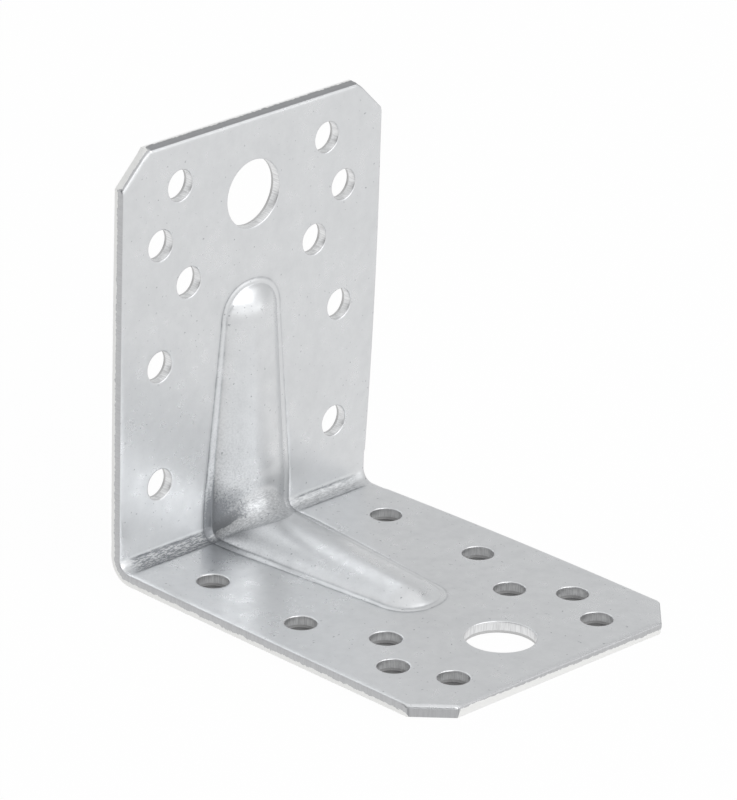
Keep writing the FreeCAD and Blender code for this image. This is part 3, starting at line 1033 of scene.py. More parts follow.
    def coined(self, row: Row, flange: Flange, share: np.ndarray) -> np.ndarray:
        """Work out how deep the tool's line is along a row, fading to both of its ends.

        Args:
            row: The row.
            flange: Which flange it will be.
            share: How far from the bead to the outline each point is, from 0 to 1.

        Returns:
            The depth at each point.
        """
        middle = self.gauge.bend_radius * self.coin_turns[flange]
        lag = (row.run(self.gauge) - middle) / self.coin_half
        fade = np.clip(share / self.coin_starts, 0.0, 1.0) * np.clip((1 - share) / self.coin_ends, 0.0, 1.0)
        return self.coin_depth * math.exp(-lag * lag) * fade

    def add_flat(
        self,
        shell: Shell,
        side: Side,
        ridge: dict[str, np.ndarray],
        rim: dict[str, np.ndarray],
    ) -> None:
        """Add one side of the flat flange, round the bead and the holes.

        Args:
            shell: Takes the faces.
            side: Which side of the sheet.
            ridge: The bead's boundary.
            rim: The sheared edge's boundary.
        """
        rows = len(self.bend_part())
        share = np.linspace(0.0, 1.0, self.strip_columns + 1)
        near_row = self.bend_edge(ridge["near"][rows - 1], rim["near"][-1], share)
        far_row = self.bend_edge(ridge["far"][rows - 1], rim["far"][-1], share)
        loop = np.concatenate(
            [
                near_row[::-1],
                ridge["near"][rows:, :2],
                ridge["tip"][1:-1, :2],
                ridge["far"][rows:, :2][::-1],
                far_row,
                rim["round"][1:-1, :2][::-1],
            ]
        )
        margin = self.punching.inner_margin if side is Side.INNER else self.punching.outer_margin
        turn = 2 * math.pi * np.arange(self.punching.around) / self.punching.around
        circles = []
        for hole in self.holes:
            radius = hole.radius + margin
            along = hole.reach + radius * np.cos(turn)
            circles.append(np.stack([along, hole.across + radius * np.sin(turn)], axis=-1))
        points, faces = self.fill(loop, circles)
        level = np.full((len(points), 1), self.level(side))
        shell.add(np.hstack([points, level]), faces, [Skin.ZINC] * len(faces))

    @staticmethod
    def bend_edge(start: np.ndarray, end: np.ndarray, share: np.ndarray) -> np.ndarray:
        """Return the strip's last row, in the plane of the flange."""
        return start[None, :2] + share[:, None] * (end - start)[None, :2]

    def fill(self, loop: np.ndarray, circles: list[np.ndarray]) -> tuple[np.ndarray, list[tuple[int, ...]]]:
        """Cover the flat between a loop and some round openings with triangles.

        Args:
            loop: The outer boundary.
            circles: The boundaries of the openings.

        Returns:
            The points and the triangles.
        """
        rings = [loop, *circles]
        points = np.concatenate(rings)
        edges, start = [], 0
        for ring in rings:
            size = len(ring)
            edges += [(start + k, start + (k + 1) % size) for k in range(size)]
            start += size
        vectors = [Vector(point) for point in points]
        found, _, faces, *_ = delaunay_2d_cdt(vectors, edges, [], INSIDE_LOOP, FLAT_TOLERANCE)
        if len(found) != len(points):
            LOG.warning("the flat has %d points where %d were given", len(found), len(points))
        found = np.array([tuple(point) for point in found])
        middles = np.array([found[list(face)].mean(axis=0) for face in faces])
        open_there = np.zeros(len(faces), dtype=bool)
        for ring in circles:
            open_there |= within(ring, middles)
        return found, [tuple(face) for face, hole in zip(faces, open_there) if not hole]


def within(loop: np.ndarray, points: np.ndarray) -> np.ndarray:
    """Tell which points lie inside a convex loop that runs anticlockwise.

    Args:
        loop: Corners of the loop.
        points: Points to test.

    Returns:
        True for each point inside.
    """
    side = np.roll(loop, -1, axis=0) - loop
    lag = points[:, None, :] - loop[None, :, :]
    turn = side[None, :, 0] * lag[:, :, 1] - side[None, :, 1] * lag[:, :, 0]
    return np.all(turn > 0, axis=1)


@dataclass
class NodeSheet:
    """A short way to write node trees: each call adds one node and links its inputs."""

    tree: bpy.types.NodeTree

    def add(self, kind: str, settings: dict | None = None, **inputs: object) -> bpy.types.Node:
        """Add a node.

        Args:
            kind: The node's type name.
            settings: Properties of the node itself.
            inputs: Values or sockets for its inputs, by name with underscores for spaces.

        Returns:
            The node.
        """
        node = self.tree.nodes.new(kind)
        for name, value in (settings or {}).items():
            setattr(node, name, value)
        for name, value in inputs.items():
            self.feed(self.find(node, name), value)
        return node

    @staticmethod
    def find(node: bpy.types.Node, name: str) -> Socket:
        """Find one of a node's inputs.

        Args:
            node: The node.
            name: The name of an enabled input, or its number written as n0, n1 and so on.

        Returns:
            The input.
        """
        if name[0] == "n" and name[1:].isdigit():
            return node.inputs[int(name[1:])]
        wanted = name.replace("_", " ").lower()
        return next(s for s in node.inputs if s.enabled and s.name.lower() == wanted)

    def feed(self, socket: Socket, value: object) -> None:
        """Link a socket to an input, or set the input's value.

        Args:
            socket: The input.
            value: The socket or the value.
        """
        if isinstance(value, Socket):
            self.tree.links.new(value, socket)
        else:
            socket.default_value = value

    def math(self, operation: str, *values: object) -> Socket:
        """Add a math node.

        Args:
            operation: Its operation.
            values: Values or sockets for its inputs, in order.

        Returns:
            Its result.
        """
        inputs = {f"n{index}": value for index, value in enumerate(values)}
        return self.add("ShaderNodeMath", {"operation": operation}, **inputs).outputs[0]

    def spread(self, value: Socket, span: Span) -> Socket:
        """Map a value from one range to another, clamped.

        Args:
            value: The value.
            span: The two ranges.

        Returns:
            The mapped value.
        """
        given = {"from_min": span.low, "from_max": span.high, "to_min": span.to_low, "to_max": span.to_high}
        return self.add("ShaderNodeMapRange", None, value=value, **given).outputs["Result"]

    def mark(self, mark: Mark) -> Socket:
        """Return one of the marks that the sheet's points carry."""
        return self.add("ShaderNodeAttribute", {"attribute_name": mark.value}).outputs["Fac"]

    def noise(self, place: Socket, pattern: Pattern, unit: float = MILLIMETRE) -> Socket:
        """Add a noise pattern.

        Args:
            place: Where it is read.
            pattern: The pattern, with its size in millimetres.
            unit: How long a millimetre is in the place that is read.

        Returns:
            The pattern's value.
        """
        layers = {"detail": pattern.detail, "roughness": pattern.rough}
        scale = 1 / (pattern.size * unit)
        return self.add("ShaderNodeTexNoise", None, vector=place, scale=scale, **layers).outputs[0]

    def mixed(self, factor: Socket, first: Colour | Socket, second: Colour | Socket) -> Socket:
        """Mix two colours.

        Args:
            factor: The second colour's share.
            first: The first colour.
            second: The second colour.

        Returns:
            The mixed colour.
        """
        node = self.add("ShaderNodeMix", {"data_type": "RGBA"}, factor=factor)
        for place, colour in ((FIRST_COLOUR, first), (SECOND_COLOUR, second)):
            self.feed(node.inputs[place], colour if isinstance(colour, Socket) else (*colour, 1.0))
        return node.outputs[MIXED_COLOUR]

    def finish_metal(self, colour: Socket, rough: Socket, height: Socket, depth: float) -> None:
        """Write the end of a metal finish.

        Args:
            colour: Its colour.
            rough: Its roughness.
            height: The pattern that lifts its surface.
            depth: How far the pattern lifts it, in millimetres.
        """
        distance = depth * MILLIMETRE
        bump = self.add("ShaderNodeBump", None, height=height, strength=1.0, distance=distance).outputs[0]
        looks = {"base_color": colour, "metallic": 1.0, "roughness": rough, "normal": bump}
        shader = self.add("ShaderNodeBsdfPrincipled", None, **looks).outputs[0]
        self.add("ShaderNodeOutputMaterial", None, surface=shader)


def blank_finish(name: str) -> tuple[bpy.types.Material, NodeSheet]:
    """Start a finish.

    Args:
        name: The material's name.

    Returns:
        The material, and the sheet that writes its empty node tree.
    """
    made = bpy.data.materials.new(name)
    made.use_nodes = True
    made.node_tree.nodes.clear()
    return made, NodeSheet(made.node_tree)


@dataclass
class PunchedHoles:
    """The walls of the holes, which the punches left: one Geometry Nodes tree for every size."""

    gauge: Gauge
    punching: Punching
    finishes: dict[Skin, bpy.types.Material]

    def tree(self) -> bpy.types.GeometryNodeTree:
        """Write the tree that sets a punched wall at each point, turned at random.

        Returns:
            The tree.
        """
        tree = bpy.data.node_groups.new("punched_hole_walls", "GeometryNodeTree")
        face = tree.interface
        face.new_socket("Geometry", in_out="INPUT", socket_type="NodeSocketGeometry")
        for name, kind in (
            ("Hole Radius", "NodeSocketFloat"),
            ("Sheet Thickness", "NodeSocketFloat"),
            ("Tear Depth", "NodeSocketFloat"),
            ("Points Around", "NodeSocketInt"),
            ("Seed", "NodeSocketInt"),
            ("Face Finish", "NodeSocketMaterial"),
            ("Wall Finish", "NodeSocketMaterial"),
        ):
            face.new_socket(name, in_out="INPUT", socket_type=kind)
        face.new_socket("Geometry", in_out="OUTPUT", socket_type="NodeSocketGeometry")
        sheet = NodeSheet(tree)
        given = sheet.add("NodeGroupInput").outputs
        placed = self.place(sheet, given, self.wall(sheet, given))
        sheet.add("NodeGroupOutput", None, n0=self.dress(sheet, given, placed))
        return tree

    def wall(self, sheet: NodeSheet, given: bpy.types.bpy_prop_collection) -> Socket:
        """Roll a grid up into one punched wall that carries its marks.

        Args:
            sheet: Writes the tree.
            given: The tree's inputs.

        Returns:
            The wall, round the Z axis.
        """
        form = self.punching
        around = sheet.math("ADD", given["Points Around"], 1.0)
        sizes = {"size_x": 1.0, "size_y": 1.0, "vertices_x": around, "vertices_y": len(form.rim)}
        wall = sheet.add("GeometryNodeMeshGrid", None, **sizes).outputs["Mesh"]
        spot = sheet.add("GeometryNodeInputPosition").outputs[0]
        place = sheet.add("ShaderNodeSeparateXYZ", None, vector=spot).outputs
        angle = sheet.math("MULTIPLY", sheet.math("ADD", place["X"], 0.5), 2 * math.pi)
        down = sheet.math("ADD", place["Y"], 0.5)
        reach = self.curve(sheet, down, [point[0] for point in form.rim])
        depth = self.curve(sheet, down, [point[1] for point in form.rim])
        cosine, sine = sheet.math("COSINE", angle), sheet.math("SINE", angle)
        radius = sheet.math("MULTIPLY_ADD", reach, MILLIMETRE, given["Hole Radius"])
        radius = sheet.math("ADD", radius, self.tear(sheet, given, (cosine, sine, depth)))
        level = sheet.math("MULTIPLY", sheet.math("SUBTRACT", 1.0, depth), given["Sheet Thickness"])
        across, along = sheet.math("MULTIPLY", radius, cosine), sheet.math("MULTIPLY", radius, sine)
        target = sheet.add("ShaderNodeCombineXYZ", None, x=across, y=along, z=level).outputs[0]
        round_wall = sheet.math("MULTIPLY", angle, sheet.math("DIVIDE", given["Hole Radius"], MILLIMETRE))
        kind = {"data_type": "FLOAT", "domain": "POINT"}
        for name, value in (
            ("down", down),
            (Mark.DEPTH.value, depth),
            (Mark.ALONG.value, round_wall),
            (Mark.BURNISH.value, form.burnish),
        ):
            kept = {"geometry": wall, "name": name, "value": value}
            wall = sheet.add("GeometryNodeStoreNamedAttribute", kind, **kept).outputs[0]
        wall = sheet.add("GeometryNodeSetPosition", None, geometry=wall, position=target).outputs[0]
        return sheet.add("GeometryNodeMergeByDistance", None, geometry=wall, distance=WELD).outputs[0]

    def tear(
        self,
        sheet: NodeSheet,
        given: bpy.types.bpy_prop_collection,
        place: tuple[Socket, Socket, Socket],
    ) -> Socket:
        """Roughen the torn part of the wall.

        Args:
            sheet: Writes the tree.
            given: The tree's inputs.
            place: Cosine and sine of the angle round the wall, and the share of depth.

        Returns:
            How far the wall steps back.
        """
        form = self.punching
        cosine, sine, depth = place
        round_place = sheet.add("ShaderNodeCombineXYZ", None, x=cosine, y=sine, z=depth).outputs[0]
        read = {"vector": round_place, "w": given["Seed"], "scale": form.tear_scale}
        noise = sheet.add("ShaderNodeTexNoise", {"noise_dimensions": "4D"}, **read).outputs[0]
        starts, ends = sheet.spread(depth, form.tear_starts), sheet.spread(depth, form.tear_ends)
        torn = sheet.math("MULTIPLY", starts, ends)
        return sheet.math("MULTIPLY", sheet.math("MULTIPLY", torn, noise), given["Tear Depth"])

    def place(self, sheet: NodeSheet, given: bpy.types.bpy_prop_collection, wall: Socket) -> Socket:
        """Set a wall at each point, facing along its axis and turned at random.

        Args:
            sheet: Writes the tree.
            given: The tree's inputs.
            wall: The wall.

        Returns:
            The walls, as real geometry.
        """
        around = self.punching.around
        vector = {"data_type": "FLOAT_VECTOR"}
        axis = sheet.add("GeometryNodeInputNamedAttribute", vector, name="axis").outputs[0]
        facing = sheet.add("FunctionNodeAlignRotationToVector", {"axis": "Z"}, vector=axis).outputs[0]
        bounds = {"min": 0, "max": around - 1, "seed": given["Seed"]}
        pick = sheet.add("FunctionNodeRandomValue", {"data_type": "INT"}, **bounds).outputs[2]
        turn = {"axis": (0.0, 0.0, 1.0), "angle": sheet.math("MULTIPLY", pick, 2 * math.pi / around)}
        spin = sheet.add("FunctionNodeAxisAngleToRotation", None, **turn).outputs[0]
        turn = {"rotation": facing, "rotate_by": spin}
        turned = sheet.add("FunctionNodeRotateRotation", {"rotation_space": "LOCAL"}, **turn).outputs[0]
        copies = {"points": given["Geometry"], "instance": wall, "rotation": turned}
        placed = sheet.add("GeometryNodeInstanceOnPoints", None, **copies).outputs[0]
        return sheet.add("GeometryNodeRealizeInstances", None, geometry=placed).outputs[0]

    def dress(self, sheet: NodeSheet, given: bpy.types.bpy_prop_collection, walls: Socket) -> Socket:
        """Give the walls their two finishes.

        Args:
            sheet: Writes the tree.
            given: The tree's inputs.
            walls: The walls.

        Returns:
            The finished geometry.
        """
        form = self.punching
        last = len(form.rim) - 1
        line = sheet.add("GeometryNodeInputNamedAttribute", {"data_type": "FLOAT"}, name="down").outputs[0]
        below = sheet.math("GREATER_THAN", line, form.wall_from / last)
        above = sheet.math("LESS_THAN", line, form.wall_to / last)
        face = {"geometry": walls, "material": given["Face Finish"]}
        walls = sheet.add("GeometryNodeSetMaterial", None, **face).outputs[0]
        cut = {"selection": sheet.math("MULTIPLY", below, above), "material": given["Wall Finish"]}
        return sheet.add("GeometryNodeSetMaterial", None, geometry=walls, **cut).outputs[0]

    @staticmethod
    def curve(sheet: NodeSheet, along: Socket, values: Sequence[float]) -> Socket:
        """Join evenly spaced values by straight runs, as a field.

        Args:
            sheet: Writes the tree.
            along: Where the field is read, from 0 to 1.
            values: The values.

        Returns:
            The field.
        """
        node = sheet.add("ShaderNodeFloatCurve", None, value=along)
        curve = node.mapping.curves[0]
        last = len(values) - 1
        while len(curve.points) > 2:
            curve.points.remove(curve.points[1])
        curve.points[0].location = (0.0, values[0])
        curve.points[1].location = (1.0, values[-1])
        for index in range(1, last):
            curve.points.new(index / last, values[index])
        for point in curve.points:
            point.handle_type = "VECTOR"
        node.mapping.update()
        return node.outputs[0]

    def host(self, holes: dict[Flange, list[Hole]], radius: float) -> bpy.types.Object:
        """Make the object that carries the centres of all holes of one radius.

        Args:
            holes: The holes of each flange.
            radius: The radius.

        Returns:
            The object, with each hole's axis as an attribute.
        """
        points, axes = [], []
        for flange, group in holes.items():
            upright = flange is Flange.UPRIGHT
            for hole in (hole for hole in group if hole.radius == radius):
                place = np.array([[hole.reach, hole.across, 0.0]])
                points.append(to_row(place[:, ::-1] if upright else place, self.gauge)[0])
                axes.append((1.0, 0.0, 0.0) if upright else (0.0, 0.0, 1.0))
        mesh = bpy.data.meshes.new("hole_places")
        mesh.from_pydata([tuple(point) for point in points], [], [])
        attribute = mesh.attributes.new("axis", "FLOAT_VECTOR", "POINT")
        attribute.data.foreach_set("vector", np.array(axes, dtype=np.float32).ravel())
        host = bpy.data.objects.new("hole_places", mesh)
        bpy.context.scene.collection.objects.link(host)
        return host

    def build(self, holes: dict[Flange, list[Hole]]) -> list[bpy.types.Mesh]:
        """Build the walls of all holes as plain meshes in the row frame.

        Args:
            holes: The holes of each flange.

        Returns:
            One mesh for each radius.
        """
        tree = self.tree()
        meshes = []
        radii = sorted({hole.radius for group in holes.values() for hole in group})
        for number, radius in enumerate(radii):
            host = self.host(holes, radius)
            values = {
                "Hole Radius": radius * MILLIMETRE,
                "Sheet Thickness": self.gauge.thickness * MILLIMETRE,
                "Tear Depth": self.punching.tear_depth * MILLIMETRE,
                "Points Around": self.punching.around,
                "Seed": self.punching.seed + number,
                "Face Finish": self.finishes[Skin.ZINC],
                "Wall Finish": self.finishes[Skin.PUNCHED],
            }
            meshes.append(grown(host, tree, values))
            bpy.data.objects.remove(host)
        return meshes


def grown(host: bpy.types.Object, tree: bpy.types.NodeTree, values: dict[str, object]) -> bpy.types.Mesh:
    """Run a Geometry Nodes tree on an object and return its result as a plain mesh.

    Args:
        host: The object that carries the points.
        tree: The tree.
        values: Values for the tree's inputs, by name.

    Returns:
        The mesh.
    """
    modifier = host.modifiers.new("grow", "NODES")
    modifier.node_group = tree
    for item in tree.interface.items_tree:
        if item.item_type == "SOCKET" and item.in_out == "INPUT" and item.name in values:
            modifier[item.identifier] = values[item.name]
    bpy.context.view_layer.update()
    graph = bpy.context.evaluated_depsgraph_get()
    mesh = bpy.data.meshes.new_from_object(host.evaluated_get(graph))
    host.modifiers.remove(modifier)
    return mesh


def to_row(points: np.ndarray, gauge: Gauge) -> np.ndarray:
    """Move points from the working frame, in millimetres, to the row frame, in metres."""
    return (points - np.array([gauge.leg / 2, 0.0, 0.0])) * MILLIMETRE


@dataclass(frozen=True)
class Zinc:
    """The galvanised face of the sheet: pale, half glossy, grained where the press stretched it, with
    painted shade by the bend, on the bead's near flank and in its creases.
    """

    colour: Colour = (0.72, 0.73, 0.74)
    # Dark colour of real stains and specks, and of the painted shade
    stain_and_shade_colour: Colour = (0.27, 0.28, 0.295)
    cloud: Pattern = Pattern(9.0, 4.0, 0.6)
    mottle: Pattern = Pattern(2.2, 5.0, 0.65)
    grain: Pattern = Pattern(0.3, 3.0, 0.6)
    scuff: Pattern = Pattern(0.2, 3.0, 0.65)
    speck: Pattern = Pattern(0.6, 2.0, 0.5)
    mottle_share: float = 0.55
    scuff_draw: float = 0.2
    cloud_stain: Span = Span(0.34, 0.66, 0.0, 0.14)
    grain_stain: Span = Span(0.42, 0.64, 0.0, 0.6)
    # Smooth painted shade where the mark is strong
    strain_and_shade_darkening: Span = Span(0.5, 0.9, 0.0, 0.9)
    # Tool scuffs, with painted shade in the concave bend
    scuff_and_shade: Span = Span(0.44, 0.56, 0.3, 1.0)
    speck_stain: Span = Span(0.69, 0.75, 0.0, 0.6)
    # Painted shade in the creases
    crease_shade_range: Span = Span(0.3, 0.6, 0.4, 0.9)
    rough: Span = Span(0.35, 0.65, 0.25, 0.37)
    strain_rough: float = 0.04
    gall_rough: float = 0.24
    depth: float = 0.05
    least_grain: float = 0.05
    speck_lift: float = 0.12
    scuff_lift: float = 0.6

    def material(self) -> bpy.types.Material:
        """Write the finish as a node material.

        Returns:
            The material.
        """
        made, sheet = blank_finish("galvanised_face")
        place = sheet.add("ShaderNodeTexCoord").outputs["Object"]
        strain, gall, crease = (sheet.mark(mark) for mark in (Mark.STRAIN, Mark.GALL, Mark.CREASE))
        stretched = (1.0, self.scuff_draw, 1.0)
        drawn = sheet.add("ShaderNodeMapping", None, vector=place, scale=stretched).outputs[0]
        cloud, mottle = sheet.noise(place, self.cloud), sheet.noise(place, self.mottle)
        grain, speck = sheet.noise(place, self.grain), sheet.noise(place, self.speck)
        scuff = sheet.noise(drawn, self.scuff)

        cloud_part = sheet.math("MULTIPLY", cloud, 1 - self.mottle_share)
        mixed = sheet.math("MULTIPLY_ADD", mottle, self.mottle_share, cloud_part)
        stain = sheet.spread(mixed, self.cloud_stain)
        # Grain where the press stretched the zinc, and painted shade on the near flank and by the bend
        grit_and_shade = sheet.math("MULTIPLY", sheet.spread(grain, self.grain_stain), strain)
        grit_and_shade = sheet.math("ADD", grit_and_shade, sheet.spread(strain, self.strain_and_shade_darkening))
        # Scuffs of the bending tool, with painted shade in the concave bend
        rubbed_and_shaded = sheet.math("MULTIPLY", sheet.spread(scuff, self.scuff_and_shade), gall)
        fleck = sheet.spread(speck, self.speck_stain)
        # Painted shade in the bead's creases and along the coined line
        creased = sheet.math("MULTIPLY", crease, sheet.spread(mottle, self.crease_shade_range))
        share = sheet.math("ADD", sheet.math("ADD", stain, grit_and_shade), sheet.math("ADD", fleck, rubbed_and_shaded))
        share = sheet.math("MINIMUM", sheet.math("ADD", share, creased), 1.0)
        colour = sheet.mixed(share, self.colour, self.stain_and_shade_colour)

        rough = sheet.spread(mixed, self.rough)
        rough = sheet.math("ADD", rough, sheet.math("MULTIPLY", strain, self.strain_rough))
        rough = sheet.math("ADD", rough, sheet.math("MULTIPLY", gall, self.gall_rough))
        lift = sheet.math("MULTIPLY", grain, sheet.math("ADD", strain, self.least_grain))
        lift = sheet.math("ADD", lift, sheet.math("MULTIPLY", speck, self.speck_lift))
        rubbed_down = sheet.math("MULTIPLY", scuff, sheet.math("MULTIPLY", gall, self.scuff_lift))
        lift = sheet.math("SUBTRACT", lift, rubbed_down)
        sheet.finish_metal(colour, rough, lift, self.depth)
        return made


@dataclass(frozen=True)
class CutWall:
    """A cut wall: a smooth burnish by the inner side, and a torn strip by the outer."""

    burnish: Colour = (0.53, 0.535, 0.545)
    deep_burnish: Colour = (0.34, 0.345, 0.355)
    torn: Colour = (0.88, 0.88, 0.87)
    streaked: Colour = (0.25, 0.25, 0.26)
    streak: Pattern = Pattern(0.2, 3.0, 0.6)
    jag: Pattern = Pattern(1.1, 5.0, 0.75)
    streak_draw: float = 0.15
    wander: float = 0.6
    tear_edge: Span = Span(-0.02, 0.02)
    deep_from: Span = Span(0.7, 0.85)
    deep_until: Span = Span(1.0, 1.2, 1.0, 0.3)
    streak_stain: Span = Span(0.4, 0.62, 0.0, 0.2)
    rough: Span = Span(0.0, 1.0, 0.32, 0.55)
    depth: float = 0.03

    def material(self, name: str) -> bpy.types.Material:
        """Write the finish as a node material.

        Args:
            name: The material's name.

        Returns:
            The material.
        """
        made, sheet = blank_finish(name)
        place = sheet.add("ShaderNodeTexCoord").outputs["Object"]
        depth, smooth, along = (sheet.mark(mark) for mark in (Mark.DEPTH, Mark.BURNISH, Mark.ALONG))
        down = sheet.math("MULTIPLY", depth, self.streak_draw)
        round_wall = sheet.add("ShaderNodeCombineXYZ", None, x=along, y=down).outputs[0]
        streak = sheet.noise(round_wall, self.streak, unit=1.0)
        jag = sheet.noise(place, self.jag)
        wander = sheet.math("MULTIPLY", sheet.math("SUBTRACT", jag, 0.5), self.wander)
        past = sheet.math("SUBTRACT", sheet.math("ADD", depth, wander), smooth)
        tear = sheet.spread(past, self.tear_edge)
        deep = sheet.spread(smooth, self.deep_from)
        deep = sheet.math("MINIMUM", deep, sheet.spread(smooth, self.deep_until))
        lined = sheet.spread(streak, self.streak_stain)
        smeared = sheet.mixed(deep, self.burnish, self.deep_burnish)
        colour = sheet.mixed(tear, sheet.mixed(lined, smeared, self.streaked), self.torn)
        rough = sheet.spread(tear, self.rough)
        lift = sheet.math("ADD", streak, sheet.math("MULTIPLY", jag, tear))
        sheet.finish_metal(colour, rough, lift, self.depth)
        return made


PUNCHED_WALL = CutWall(
    burnish=(0.86, 0.865, 0.87),
    deep_burnish=(0.86, 0.865, 0.87),
    torn=(0.6, 0.6, 0.6),
    wander=0.12,
    streak_stain=Span(0.4, 0.62, 0.0, 0.3),
)


@dataclass
class Bracket:
    """The whole bracket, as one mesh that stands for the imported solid."""

    frame: dict
    gauge: Gauge = field(init=False)
    punching: Punching = field(default_factory=Punching)

    def __post_init__(self) -> None:
        """Read the sheet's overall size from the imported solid."""
        low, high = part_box(NODE)
        size = (high - low) / MILLIMETRE
        self.gauge = Gauge(leg=size.z, width=size.y)

    def holes(self) -> dict[Flange, list[Hole]]:
        """Read the holes from the record's mounts.

        Returns:
            The holes of each flange.
        """
        found = {Flange.BASE: [], Flange.UPRIGHT: []}
        for mount in self.frame["record"]["mounts"]:
            if mount["kind"] == "flat_face":
                continue
            base = abs(mount["axis"][2]) > 0.5
            flange = Flange.BASE if base else Flange.UPRIGHT
            x, y, z = (value / MILLIMETRE for value in mount["pos_m"])
            reach = x + self.gauge.leg / 2 if base else z
            dims = mount["dims"]
            if mount["kind"] == "bore":
                found[flange].append(Hole(reach, y, dims["r_mm"]))
                continue
            span = dims["spacing_y_mm"] if base else dims["spacing_x_mm"]
            for way in (-1, 1):
                found[flange].append(Hole(reach, y + way * span / 2, dims["hole_r_mm"]))
        return found

    def base_bolt_hole(self) -> Hole:
        """Return the widest hole of the base flange."""
        return max(self.holes()[Flange.BASE], key=lambda hole: hole.radius)

    def build(self) -> bpy.types.Object:
        """Build, weld and dress the bracket.

        Returns:
            The piece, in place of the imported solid.
        """
        finishes = {
            Skin.ZINC: Zinc().material(),
            Skin.SHEARED: CutWall().material("sheared_edge"),
            Skin.PUNCHED: PUNCHED_WALL.material("punched_wall"),
        }
        holes = self.holes()
        whole = Shell()
        for flange in Flange:
            sheet = PressedSheet(self.gauge, Bead(), self.punching, Shearing(), holes[flange])
            whole.absorb(sheet.build(flange), flange)
        walls = PunchedHoles(self.gauge, self.punching, finishes).build(holes)
        mesh = self.weld(whole, walls, finishes[Skin.PUNCHED])
        for skin in Skin:
            mesh.materials.append(finishes[skin])
        piece = bpy.data.objects.new("bracket_sheet", mesh)
        bpy.context.scene.collection.objects.link(piece)
        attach(piece, BODY)
        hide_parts(NODE)
        return piece

    def weld(
        self,
        whole: Shell,
        walls: list[bpy.types.Mesh],
        wall_finish: bpy.types.Material,
    ) -> bpy.types.Mesh:
        """Join the sheet and the hole walls into one closed mesh with smooth normals.

        Args:
            whole: The sheet.
            walls: The walls of its holes.
            wall_finish: The finish that tells their cut part.

        Returns:
            The mesh, with the marks as attributes.
        """
        whole.points = [to_row(np.concatenate(whole.points), self.gauge)]
        for wall in walls:
            size = len(wall.vertices)
            places = np.zeros(size * 3)
            wall.vertices.foreach_get("co", places)
            marks = {}
            for mark in (Mark.DEPTH, Mark.BURNISH, Mark.ALONG):
                marks[mark] = np.zeros(size)
                wall.attributes[mark.value].data.foreach_get("value", marks[mark])
            cut = [material == wall_finish for material in wall.materials]
            faces = [tuple(polygon.vertices) for polygon in wall.polygons]
            skins = [Skin.PUNCHED if cut[polygon.material_index] else Skin.ZINC for polygon in wall.polygons]
            whole.add(places.reshape(-1, 3), faces, skins, marks)
        mesh = bpy.data.meshes.new("bracket_sheet")
        mesh.from_pydata(np.concatenate(whole.points).tolist(), [], whole.faces)
        mesh.polygons.foreach_set("material_index", whole.skins)
        for mark, values in whole.marks.items():
            attribute = mesh.attributes.new(mark.value, "FLOAT", "POINT")
            attribute.data.foreach_set("value", np.concatenate(values).astype(np.float32))
        work = bmesh.new()
        work.from_mesh(mesh)
        bmesh.ops.remove_doubles(work, verts=work.verts, dist=WELD)
        bmesh.ops.recalc_face_normals(work, faces=work.faces)
        loose = sum(not edge.is_manifold for edge in work.edges)
        LOG.info("bracket_sheet: %d faces, %d open edges", len(work.faces), loose)
        work.to_mesh(mesh)
        work.free()
        mesh.polygons.foreach_set("use_smooth", [True] * len(mesh.polygons))
        mesh.set_sharp_from_angle(angle=SHARP_ANGLE)
        return mesh


@dataclass(frozen=True)
class Panel:
    """A soft lamp: where it hangs, which way its back is turned, its size and its radiance."""

    name: str
    centre: tuple[float, float, float]
    away: tuple[float, float, float]
    width: float
    height: float
    radiance: float


